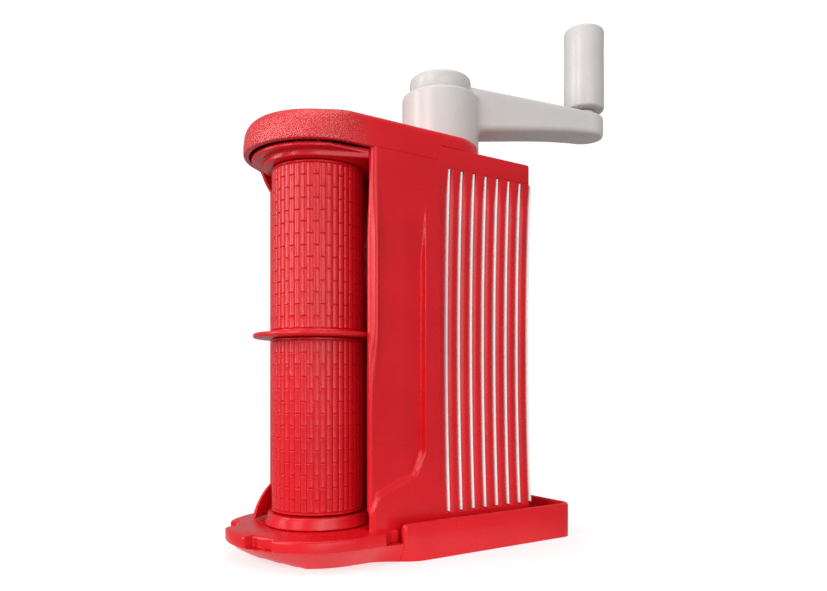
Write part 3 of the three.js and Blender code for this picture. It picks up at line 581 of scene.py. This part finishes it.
def slot_at(x):
    """The distance from the nearest slot's middle."""
    k = round((x - first_fin) / fin_pitch)
    k = min(fin_count - 1, max(0, k))
    return abs(x - first_fin - k * fin_pitch)


def rib_rounding(x, z):
    """How far the ribs' convex faces fall away towards the slots."""
    if not slot_bottom < z < slot_top:
        return 0
    short = max(0, slot_width / 2 + rib_edge - slot_at(x))
    return rib_round * min(1, short / rib_edge) ** 2


def side_skin(side, front, scooped):
    """One long side of the body, from its front edge to the column's rear corner."""
    def outer(x, z):
        depth = bow_depth(x, z) + front_rounding(x, front, edge_radius(z)) + rib_rounding(x, z)
        if scooped:
            depth += recess_depth(x, z)
        return (x, side * (body_half - depth), z)

    def inner(x, z):
        thicker = (column_wall - skin_wall) * smooth_step(x, column_front, column_front + 1)
        depth = skin_wall + thicker
        if scooped and x < column_front:
            depth += recess_depth(x, z)
        return (x, side * (body_half - depth), z)

    def is_open(x, z):
        in_slot = slot_at(x) < slot_width / 2 and slot_bottom < z < slot_top
        under_deck = x < tray_start and z < deck_top
        in_cap = z > cap_bottom and x > column_front
        return in_slot or under_deck or in_cap

    edges = [0, 0.2, 0.5, 0.9, 1.4, 2.0, rib_edge]
    slots = [first_fin + k * fin_pitch + s * (slot_width / 2 + e)
             for k in range(fin_count - 1) for s in (-1, 1) for e in edges]
    xs = [front + r for r in (0, 0.1, 0.3, 0.6, 1, 1.5, 2)] + spread(front + 2.6, crease_x - 1, 0.6)
    xs += spread(crease_x - 0.4, crease_x + 1, 0.15) + spread(crease_x + 1.4, crease_x + 3, 0.5)
    xs += spread(crease_x + 4, column_front - 2, 1.2) + spread(first_fin - 5.8, first_fin - 4.2, 0.2)
    xs += [tray_start, column_front, column_front + 1, column_rear]
    xs = sorted({round(x, 3) for x in xs + slots if front <= x <= column_rear})
    zs = spread(deck_top, deck_top + 34, 0.55) + spread(deck_top + 36, recess_top - 42, 4)
    zs += spread(recess_top - 40, recess_top, 2.5) + [slot_bottom, slot_top, cap_bottom]
    zs += [body_foot, tray_floor + 5, lid_low.z]
    zs = sorted({round(z, 3) for z in zs if z <= lid_low.z})
    return thick_grid(xs, zs, outer, inner, is_open)


def rounded_outline(x0, x1, half, radius, inset, steps=8):
    """A rectangle with round corners, as points that run round it once."""
    r = max(radius - inset, 0.05)
    middles = [(x1 - inset - r, half - inset - r, 0), (x0 + inset + r, half - inset - r, 90),
               (x0 + inset + r, -half + inset + r, 180), (x1 - inset - r, -half + inset + r, 270)]
    return [(cx + r * math.cos(math.radians(turn + 90 * s / steps)),
             cy + r * math.sin(math.radians(turn + 90 * s / steps)))
            for cx, cy, turn in middles for s in range(steps + 1)]


def arc_profile(middle, radius, start, end, steps=5):
    """Points on an arc, in degrees, as (outwards, upwards) pairs."""
    turns = [math.radians(start + (end - start) * i / steps) for i in range(steps + 1)]
    return [(middle[0] + radius * math.cos(t), middle[1] + radius * math.sin(t)) for t in turns]


# The cap band: hollow from below, with a rounded top edge.
cap_edge = 1.1
cap_corner = 1.6
cap_wall = 5
under_lid = 0.04
cap_profile = [(-cap_wall, cap_top - 1.8), (-cap_wall, cap_bottom), (-0.3, cap_bottom),
               (0, cap_bottom + 0.3)]
cap_profile += arc_profile((-cap_edge, cap_top - cap_edge), cap_edge, 0, 90)


def cap_ring(out, z):
    """A level of the cap band, which stands proud of the sides once it is past the lid."""
    outline = rounded_outline(column_front - 2, body_high.x, body_half + cap_overhang,
                              cap_corner, -out)
    ring = []
    for x, y in outline:
        proud = (cap_overhang + under_lid) * smooth_step(x, column_front, column_front + 6)
        ring.append((x, math.copysign(min(abs(y), body_half - under_lid + proud), y), z))
    return ring


cap = loft([cap_ring(out, z) for out, z in cap_profile])
column_inside = body_half - column_wall
rear_wall = box_form(column_rear - skin_wall, column_rear, -column_inside, column_inside,
                     body_foot, cap_bottom + 1)
front_wall = box_form(column_front, column_front + skin_wall, -column_inside, column_inside,
                      body_foot, cap_bottom - 2)
body_points, body_faces = join_parts(
    side_skin(-1, wall_front, True), side_skin(1, far_front, False), cap, rear_wall, front_wall)
link_piece("body_moulding", new_mesh("body_moulding", body_points, body_faces), gloss_red_abs,
           "housing", ["body_housing"])

# ---- Combs: white ABS strips pushed out through the slots from inside, eight thin fins on one
# backing sheet at each side.


def repeat_tree(name, inputs):
    """An empty node group with a geometry input and output and named number inputs."""
    tree = bpy.data.node_groups.new(name, "GeometryNodeTree")
    tree.interface.new_socket("Geometry", in_out="INPUT", socket_type="NodeSocketGeometry")
    for label, kind in inputs:
        tree.interface.new_socket(label, in_out="INPUT", socket_type=kind)
    tree.interface.new_socket("Geometry", in_out="OUTPUT", socket_type="NodeSocketGeometry")
    return tree


def copies_at(tree, points, copied, material, **more):
    """Ends a tree: copies on points, made real, with their material."""
    copies = add_node(tree, "GeometryNodeInstanceOnPoints",
                      {"Points": points, "Instance": copied, **more})
    real = add_node(tree, "GeometryNodeRealizeInstances", {"Geometry": copies.outputs["Instances"]})
    finish = add_node(tree, "GeometryNodeSetMaterial", {"Geometry": real.outputs["Geometry"]})
    finish.inputs["Material"].default_value = material
    add_node(tree, "NodeGroupOutput", {"Geometry": finish.outputs["Geometry"]})
    return tree


def row_tree(material):
    """Copies one form along X."""
    tree = repeat_tree("row of fins", [("Count", "NodeSocketInt"), ("Pitch", "NodeSocketFloat")])
    given = add_node(tree, "NodeGroupInput").outputs
    step = add_node(tree, "ShaderNodeCombineXYZ", {"X": given["Pitch"]})
    line = add_node(tree, "GeometryNodeMeshLine", {"Count": given["Count"],
                                                   "Offset": step.outputs["Vector"]})
    return copies_at(tree, line.outputs["Mesh"], given["Geometry"], material)


def plain_result(piece_mesh, tree, values):
    """The mesh that a node tree makes of a mesh, with the tree's inputs set by identifier."""
    sockets = {item.name: item.identifier for item in tree.interface.items_tree
               if item.in_out == "INPUT"}
    given = {sockets[label]: value for label, value in values.items()}
    return result_of(piece_mesh, "NODES", given, node_group=tree)


fin_setback = 0.1
fin_half = 0.45
backing = 1.7
comb_outer = body_half - column_wall - fit_gap


def fin_form(side):
    """One fin, its outer edge rounded and bowed like the column's side."""
    rings = []
    for z in spread(comb_low.z, comb_high.z, 5):
        tip = body_half - bow_depth(column_rear, z) - fin_setback
        section = [(-fin_half, comb_outer - 0.5), (-fin_half, tip - 0.25), (-fin_half * 0.6, tip),
                   (fin_half * 0.6, tip), (fin_half, tip - 0.25), (fin_half, comb_outer - 0.5)]
        rings.append([(first_fin + x, side * y, z) for x, y in section])
    return loft(rings)


# The fins' white pigment is bright and even, with a soft gloss.
bright_white_abs = moulded_plastic("moulded bright white ABS", ("#f6f5f3", "#fcfbfa"),
                                   gloss=(0.3, 0.4), peel=(2, 0.008))
fins_tree = row_tree(bright_white_abs)
for comb, side in (("comb_near", -1), ("comb_far", 1)):
    low, high = in_mm(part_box(comb))
    fins = plain_result(new_mesh("fin", *fin_form(side), sharp=40), fins_tree,
                        {"Count": fin_count, "Pitch": fin_pitch * MM})
    sheet_ys = sorted((side * comb_outer, side * (comb_outer - backing)))
    sheet = new_mesh("sheet", *box_form(low.x, high.x, *sheet_ys, low.z, high.z))
    link_piece(comb + "_fins", merged(comb + "_fins", fins, sheet), bright_white_abs,
               "housing", [comb])

# ---- Guide cradle: the smooth curved wall behind the roller, with a guard on its far side, in
# one moulding of the same red ABS. It stands on the deck and reaches up under the lid.

moulded_copy("guide_cradle", "cradle_moulding", gloss_red_abs, "housing", 0.4)

# ---- Gear plate: a thin plate in the same red ABS that closes the space under the lid. It carries
# the upper roller bush and the idler's pin, and two screws hold it.

moulded_copy("gear_plate", "gear_plate_moulding", gloss_red_abs, "housing", 0.4)

# ---- Roller: two red sleeves on a steel axle, each covered with upright bricks in staggered
# columns, moulded proud of a plain core, and a thin disc between them.

brick_columns = 46
brick_rows = 7
shortest_brick = 1.0
brick_proud = 0.48
groove = 0.22
end_band = 1.2


def brick_tree(material):
    """Copies one brick round the roller, column by column, each second column half a brick up,
    and shortens the bricks that the sleeve's ends cut."""
    tree = repeat_tree("staggered bricks", [
        ("Columns", "NodeSocketInt"), ("Rows", "NodeSocketInt"), ("Radius", "NodeSocketFloat"),
        ("Bottom", "NodeSocketFloat"), ("Top", "NodeSocketFloat")])
    given = add_node(tree, "NodeGroupInput").outputs
    value = {label: given[label] for label in ("Columns", "Rows", "Radius", "Bottom", "Top")}
    value["index"] = add_node(tree, "GeometryNodeInputIndex").outputs["Index"]
    sums = (("column", "MODULO", "index", "Columns"),
            ("turns", "DIVIDE", "index", "Columns"),
            ("row", "FLOOR", "turns", 0),
            ("odd", "MODULO", "column", 2),
            ("half up", "MULTIPLY", "odd", 0.5),
            ("step", "SUBTRACT", "row", "half up"),
            ("height", "SUBTRACT", "Top", "Bottom"),
            ("pitch", "DIVIDE", "height", "Rows"),
            ("rise", "MULTIPLY", "step", "pitch"),
            ("foot", "ADD", "Bottom", "rise"),
            ("head", "ADD", "foot", "pitch"),
            ("low", "MAXIMUM", "foot", "Bottom"),
            ("high", "MINIMUM", "head", "Top"),
            ("length", "SUBTRACT", "high", "low"),
            ("whole", "GREATER_THAN", "length", shortest_brick * MM),
            ("both ends", "ADD", "low", "high"),
            ("middle", "MULTIPLY", "both ends", 0.5),
            ("column turn", "DIVIDE", 2 * math.pi, "Columns"),
            ("turn", "MULTIPLY", "column", "column turn"),
            ("cosine", "COSINE", "turn", 0),
            ("sine", "SINE", "turn", 0),
            ("x", "MULTIPLY", "cosine", "Radius"),
            ("y", "MULTIPLY", "sine", "Radius"),
            ("levels", "ADD", "Rows", 1),
            ("total", "MULTIPLY", "Columns", "levels"),
            ("cut length", "SUBTRACT", "length", groove * MM),
            ("full length", "SUBTRACT", "pitch", groove * MM),
            ("stretch", "DIVIDE", "cut length", "full length"))
    for result, operation, first, second in sums:
        terms = {0: value.get(first, first), 1: value.get(second, second)}
        value[result] = add_node(tree, "ShaderNodeMath", terms, operation=operation).outputs["Value"]
    place = add_node(tree, "ShaderNodeCombineXYZ",
                     {"X": value["x"], "Y": value["y"], "Z": value["middle"]})
    spots = add_node(tree, "GeometryNodePoints",
                     {"Count": value["total"], "Position": place.outputs["Vector"]})
    facing = add_node(tree, "ShaderNodeCombineXYZ", {"Z": value["turn"]})
    size = add_node(tree, "ShaderNodeCombineXYZ", {"X": 1.0, "Y": 1.0, "Z": value["stretch"]})
    return copies_at(tree, spots.outputs["Points"], given["Geometry"], material,
                     Selection=value["whole"], Rotation=facing.outputs["Vector"],
                     Scale=size.outputs["Vector"])


def brick(width, height):
    """One brick about the origin, its face towards +X: chamfered all round, a little hollow in
    the middle of its length, so that its two ends stand proud."""
    half = width / 2
    rings = []
    for z, rise in ((-0.5, 0.65), (-0.482, 1.0), (-0.45, 1.0), (-0.4, 0.87), (-0.2, 0.84),
                    (0.2, 0.84), (0.4, 0.87), (0.45, 1.0), (0.482, 1.0), (0.5, 0.65)):
        top = brick_proud * rise
        section = [(-0.3, -half), (top * 0.45, -half), (top, -half + 0.35), (top, half - 0.35),
                   (top * 0.45, half), (-0.3, half)]
        rings.append([(out, across, z * height) for out, across in section])
    return loft(rings)


for sleeve in ("lower_sleeve", "upper_sleeve"):
    low, high = in_mm(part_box(sleeve))
    outer_radius = high.x
    core_radius = outer_radius - brick_proud
    brick_low = low.z + end_band
    brick_high = high.z - end_band
    pitch = (brick_high - brick_low) / brick_rows
    width = 2 * math.pi * outer_radius / brick_columns - groove
    one = new_mesh("brick", *brick(width, pitch - groove), sharp=50)
    bricks = plain_result(one, brick_tree(gloss_red_abs), {
        "Columns": brick_columns, "Rows": brick_rows, "Radius": core_radius * MM,
        "Bottom": brick_low * MM, "Top": brick_high * MM})
    profile = [(core_radius * 0.3, low.z), (core_radius - 0.3, low.z), (outer_radius - 0.3, low.z),
               (outer_radius, low.z + 0.3), (outer_radius, low.z + end_band - 0.4),
               (core_radius, low.z + end_band), (core_radius, high.z - end_band),
               (outer_radius, high.z - end_band + 0.4), (outer_radius, high.z - 0.3),
               (outer_radius - 0.3, high.z), (core_radius * 0.3, high.z)]
    core = new_mesh("core", *loft([circle(radius, z) for radius, z in profile]))
    link_piece(sleeve + "_bricks", merged(sleeve + "_bricks", bricks, core), gloss_red_abs,
               "roller", [sleeve])

disc_low, disc_high = in_mm(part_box("divider_disc"))
disc_radius = disc_high.x
disc_inside = 6
disc = lathe([(disc_inside, disc_low.z), (disc_radius - 0.7, disc_low.z),
              (disc_radius - 0.2, disc_low.z + 0.25), (disc_radius, disc_low.z + 0.8),
              (disc_radius, disc_high.z - 0.8), (disc_radius - 0.2, disc_high.z - 0.25),
              (disc_radius - 0.7, disc_high.z), (disc_inside, disc_high.z)])
link_piece("divider_disc_moulding", new_mesh("divider_disc_moulding", *disc, sharp=60),
           gloss_red_abs, "roller", ["divider_disc"])

# ---- Lid: red ABS, its front spark-eroded to a fine grain that fades out along its sides. It is
# drafted and rounded over the roller, steps up over the column, has a round seat for the crank's
# hub, and is held by four screws from above.

# The grain breaks the highlight up into sparkles. It is drawn coarser than a real one, so that it
# shows.
grained_red_abs = moulded_plastic("moulded red ABS, spark-eroded tool", ("#d1111d", "#df1623"),
                                  gloss=(0.2, 0.3), peel=(2.2, 0.008), grain=(0.5, 0.32, -6, 14))
lid_half = lid_high.y
lid_corner = 21
crank_axis = 66
lid_shoulder = crank_axis - 12
lid_wall = 2.2
lid_step = column_front - 0.02
hub_seat_radius = 19.6
counterbore_radius = 3.1
counterbore_depth = 1.7


def lid_ring(inset, height, front_inset, front_height):
    """A level of the lid's skin. Its front may be drawn in and raised more than its long sides."""
    rear = lid_corner - inset
    side = lid_half - inset
    plan = [(lid_half * math.cos(t), lid_half * math.sin(t)) for t in
            (math.radians(90 + 180 * i / 60) for i in range(61))]
    ring = []
    for x, y in plan:
        blend = smooth_step(x, -14, -0.01)
        shrink = 1 - (front_inset + (inset - front_inset) * blend) / lid_half
        ring.append((x * shrink, y * shrink, front_height + (height - front_height) * blend))
    near = [(x, -side, height) for x in spread(1, lid_shoulder, 1.5)]
    turns = [math.pi / 2 * i / 12 for i in range(1, 13)]
    corner = [(lid_shoulder + rear * math.sin(t),
               -(lid_half - lid_corner) - rear * math.cos(t), height) for t in turns]
    far = [(x, -y, z) for x, y, z in reversed(near + corner)]
    return ring + near + corner + far


def over_column(ring):
    """Lifts the skirt clear of the column's cap behind the step."""
    return [(x, y, max(z, cap_top + 0.05) if x > lid_step else z) for x, y, z in ring]


lid_levels = [
    over_column(lid_ring(lid_wall, lid_high.z - lid_wall, lid_wall + 3, lid_high.z - lid_wall)),
    over_column(lid_ring(lid_wall, lid_low.z, lid_wall, lid_low.z)),
    over_column(lid_ring(0.3, lid_low.z, 0.7, lid_low.z)),
    over_column(lid_ring(0.05, lid_low.z + 0.25, 0.2, lid_low.z + 0.3)),
    over_column(lid_ring(0, lid_low.z + 1, 0, lid_low.z + 1)),
    over_column(lid_ring(0, lid_low.z + 4, 0, lid_low.z + 4)),
    lid_ring(0, lid_high.z - 4, 0.5, lid_high.z - 5),
    lid_ring(0.1, lid_high.z - 2.4, 1.1, lid_high.z - 3.2),
    lid_ring(0.5, lid_high.z - 1.2, 2.0, lid_high.z - 1.7),
    lid_ring(1.3, lid_high.z - 0.4, 3.2, lid_high.z - 0.6),
    lid_ring(2.5, lid_high.z, 5.2, lid_high.z),
]
lid_blank = new_mesh("lid", *loft(lid_levels))
lid_cuts = [lathe([(hub_seat_radius, cap_top - 1), (hub_seat_radius, lid_high.z + 1)],
                  96, crank_axis)]
for k in (1, 2, 3, 4):
    low, high = in_mm(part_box("lid_screw_%d" % k))
    lid_cuts.append(lathe([(counterbore_radius, high.z - counterbore_depth),
                           (counterbore_radius, lid_high.z + 1)], 32,
                          (low.x + high.x) / 2, (low.y + high.y) / 2))
lid_mesh = carved(lid_blank, *lid_cuts)
link_piece("lid_moulding", lid_mesh, grained_red_abs, "housing", ["top_lid"])

# ---- Crank: one white ABS moulding, a round hub with a long tapering arm, turned on the drive
# shaft's flat, and a pressed-in cap over its screw.

# The skin of white ABS from a fine-blasted tool: even, soft gloss.
satin_white_abs = moulded_plastic("moulded white ABS, satin tool", ("#c9c5c2", "#d2cecb"),
                                  gloss=(0.24, 0.34), peel=(2, 0.008))
arm_low = in_mm(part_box("crank_arm"))[0]
hub_cap_low, hub_cap_high = in_mm(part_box("hub_cap"))
grip_low, grip_high = in_mm(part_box("grip"))
rest_turn = math.radians(-16)
hub_radius = 18.7
hub_top = hub_cap_low.z - fit_gap
arm_reach = 80
arm_half = 9.8
arm_top = hub_top + 5.6
arm_foot = arm_top - 24
arm_end_top = arm_top - 5.6
arm_end_foot = arm_end_top - 11.4


def turned_to_rest(points):
    """Points along the crank's arm, turned to where it rests."""
    cosine, sine = math.cos(rest_turn), math.sin(rest_turn)
    return [(crank_axis + cosine * x - sine * y, sine * x + cosine * y, z) for x, y, z in points]


def arm_form():
    """The arm: rounded sections that get shallower towards the grip, with a round nose."""
    nose = [arm_reach + arm_half * t for t in (0.2, 0.4, 0.6, 0.75, 0.87, 0.95, 0.99)]
    rings = []
    for along in spread(6, arm_reach, 2) + nose:
        outwards = smooth_step(along, 2, arm_reach + 12)
        top = arm_top + (arm_end_top - arm_top) * (along / arm_reach)
        foot = arm_foot + (arm_end_foot - arm_foot) * smooth_step(along, -10, arm_reach)
        past = max(0, along - arm_reach) / arm_half
        half = arm_half * math.sqrt(max(0.001, 1 - past ** 2))
        soft = min(3.2 * (1 - outwards) + 1.8 * outwards, half * 0.9)
        corners = [(half, top, 0), (-half, top, 90), (-half, foot, 180), (half, foot, 270)]
        ring = []
        for y, z, turn in corners:
            middle = (y - math.copysign(soft, y), z - math.copysign(soft, z - (top + foot) / 2))
            turns = [math.radians(turn + a) for a in spread(0, 90, 15)]
            ring += [(along, middle[0] + soft * math.cos(t), middle[1] + soft * math.sin(t))
                     for t in turns]
        rings.append(ring)
    return loft(rings)


# The hub and arm are blended by re-skinning the joined forms, then smoothed, as a tool's
# own fillets would.
hub = lathe([(hub_radius - 0.6, arm_low.z), (hub_radius, arm_low.z + 0.6),
             (hub_radius, hub_top - 1.4), (hub_radius - 0.4, hub_top - 0.4),
             (hub_radius - 1.4, hub_top)], 128)
collar = lathe([(5.5, arm_end_foot + 3), (5.5, grip_low.z - 0.4)], 64, arm_reach)
arm_points, arm_faces = join_parts(hub, arm_form(), collar)
arm_blank = new_mesh("arm", turned_to_rest(arm_points), arm_faces)
arm_mesh = result_of(arm_blank, "REMESH", mode="VOXEL", voxel_size=0.55 * MM,
                     use_smooth_shade=True)
arm_mesh = result_of(arm_mesh, "SMOOTH", factor=0.5, iterations=14)
arm_mesh.polygons.foreach_set("use_smooth", [True] * len(arm_mesh.polygons))
link_piece("crank_arm_moulding", arm_mesh, satin_white_abs, "crank", ["crank_arm"])

hub_cap_radius = (hub_cap_high.x - hub_cap_low.x) / 2
hub_cap_top = hub_cap_high.z
hub_cap = lathe([(hub_cap_radius - 0.4, hub_cap_low.z), (hub_cap_radius, hub_cap_low.z + 0.4),
                 (hub_cap_radius - 0.1, hub_cap_top - 1.5),
                 (hub_cap_radius - 0.3, hub_cap_top - 0.7),
                 (hub_cap_radius - 0.7, hub_cap_top - 0.2), (hub_cap_radius - 1.5, hub_cap_top),
                 (hub_cap_radius - 3.6, hub_cap_top), (hub_cap_radius - 4, hub_cap_top - 0.5),
                 (0, hub_cap_top - 0.6)], 96, crank_axis)
link_piece("hub_cap_moulding", new_mesh("hub_cap_moulding", *hub_cap, sharp=50), satin_white_abs,
           "crank", ["hub_cap"])

# ---- Grip: a sleeve moulded in the same white ABS, closed at its top. It turns freely on the steel
# pin that stands in the arm's end.

grip_axis = (grip_low + grip_high) / 2
grip_edge = 1.8
grip_radius = (grip_high.x - grip_low.x) / 2
grip_profile = [(4, grip_low.z), (grip_radius - 1, grip_low.z), (grip_radius - 0.3, grip_low.z + 0.3),
                (grip_radius, grip_low.z + 1), (grip_radius, grip_low.z + 12),
                (grip_radius - 0.15, grip_high.z - 12), (grip_radius, grip_high.z - grip_edge)]
grip_profile += [(grip_radius - grip_edge + grip_edge * math.cos(t),
                  grip_high.z - grip_edge + grip_edge * math.sin(t))
                 for t in (math.radians(a) for a in (20, 40, 60, 80))]
grip_profile += [(grip_radius - 4, grip_high.z), (3, grip_high.z - 0.3), (0, grip_high.z - 0.3)]
grip = lathe(grip_profile, 96, grip_axis.x, grip_axis.y)
link_piece("grip_moulding", new_mesh("grip_moulding", *grip, sharp=50), satin_white_abs,
           "grip", ["grip"])

# ---- Inner works: screws, pins, shafts and clips turned from stainless steel, and bushes and
# gears moulded in natural acetal. Their forms are the CAD model's; the lid's screws, which show
# in their counterbores, have pan heads with a cross recess.


waves_per_unit = 20 / (2 * math.pi)     # a wave texture's bands in each unit, at scale 1


def turned_steel(name, colours, rough, ring_pitch):
    """Bar stock from a lathe: rings from the tool along its length, drawn coarser than the real
    feed of about 0.1 mm so that they show, and patchy polish."""
    material = bpy.data.materials.new(name)
    material.use_nodes = True
    tree = material.node_tree
    shader = tree.nodes["Principled BSDF"]
    shader.inputs["Metallic"].default_value = 1
    place = add_node(tree, "ShaderNodeTexCoord").outputs["Object"]
    patches = add_node(tree, "ShaderNodeTexNoise",
                       {"Vector": place, "Scale": per_mm(6), "Detail": 4})
    tint = add_node(tree, "ShaderNodeValToRGB", {"Fac": patches.outputs["Fac"]})
    tint.color_ramp.elements[0].color = linear(colours[0])
    tint.color_ramp.elements[1].color = linear(colours[1])
    tree.links.new(tint.outputs["Color"], shader.inputs["Base Color"])
    sheen = add_node(tree, "ShaderNodeMapRange", {"Value": patches.outputs["Fac"],
                                                  "To Min": rough[0], "To Max": rough[1]})
    tree.links.new(sheen.outputs["Result"], shader.inputs["Roughness"])
    rings = add_node(tree, "ShaderNodeTexWave",
                     {"Vector": place, "Scale": per_mm(ring_pitch * waves_per_unit),
                      "Distortion": 0.4}, bands_direction="Z")
    bump = add_node(tree, "ShaderNodeBump", {"Height": rings.outputs["Fac"],
                                             "Distance": 0.01 * MM, "Strength": 1})
    tree.links.new(bump.outputs["Normal"], shader.inputs["Normal"])
    return material


# Stainless steel looks bright and a little cool; natural acetal is a waxy off-white.
bright_steel = turned_steel("turned stainless steel", ("#a9adb1", "#c6c9cc"),
                            rough=(0.22, 0.38), ring_pitch=1.5708)
natural_acetal = moulded_plastic("moulded natural acetal", ("#e6e2d4", "#f0ede2"),
                                 gloss=(0.42, 0.56), peel=(1.8, 0.02))
lid_screws = ["lid_screw_%d" % k for k in (1, 2, 3, 4)]
metal = [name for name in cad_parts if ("screw" in name and name not in lid_screws)
         or "clip" in name or name in ("roller_axle", "drive_shaft", "idler_pin", "grip_pin")]
refinish(bright_steel, *metal)
refinish(natural_acetal, *[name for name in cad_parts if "bush" in name
                           or name.endswith("_gear")])


def grid_tree(material):
    """Copies one form at the four corners of a rectangle."""
    tree = repeat_tree("screws at four corners", [
        ("Length", "NodeSocketFloat"), ("Width", "NodeSocketFloat")])
    given = add_node(tree, "NodeGroupInput").outputs
    grid = add_node(tree, "GeometryNodeMeshGrid", {
        "Size X": given["Length"], "Size Y": given["Width"], "Vertices X": 2, "Vertices Y": 2})
    return copies_at(tree, grid.outputs["Mesh"], given["Geometry"], material)


screw_boxes = [in_mm(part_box(name)) for name in lid_screws]
screw_xs = sorted({round((low.x + high.x) / 2, 2) for low, high in screw_boxes})
screw_ys = sorted({round((low.y + high.y) / 2, 2) for low, high in screw_boxes})
head_top = screw_boxes[0][1].z
shank_foot = max(low.z for low, high in screw_boxes)
pan_head = lathe([(1.45, shank_foot), (1.45, head_top - 1.4), (2.7, head_top - 1.4),
                  (2.8, head_top - 1.1), (2.6, head_top - 0.4), (1.9, head_top - 0.05),
                  (0.01, head_top)], 32)
cross_half = 1.3
cross_slit = 0.28
cross_heights = (head_top - 0.9, head_top + 1)
one_screw = carved(new_mesh("screw", *pan_head),
                   box_form(-cross_half, cross_half, -cross_slit, cross_slit, *cross_heights))
one_screw = carved(one_screw,
                   box_form(-cross_slit, cross_slit, -cross_half, cross_half, *cross_heights))
screws = plain_result(one_screw, grid_tree(bright_steel), {
    "Length": (screw_xs[-1] - screw_xs[0]) * MM, "Width": (screw_ys[-1] - screw_ys[0]) * MM})
shift = Vector(((screw_xs[0] + screw_xs[-1]) / 2 * MM, (screw_ys[0] + screw_ys[-1]) / 2 * MM, 0))
for vertex in screws.vertices:
    vertex.co += shift
screws.name = "lid_screws"
link_piece("lid_screws", screws, bright_steel, "housing", lid_screws)
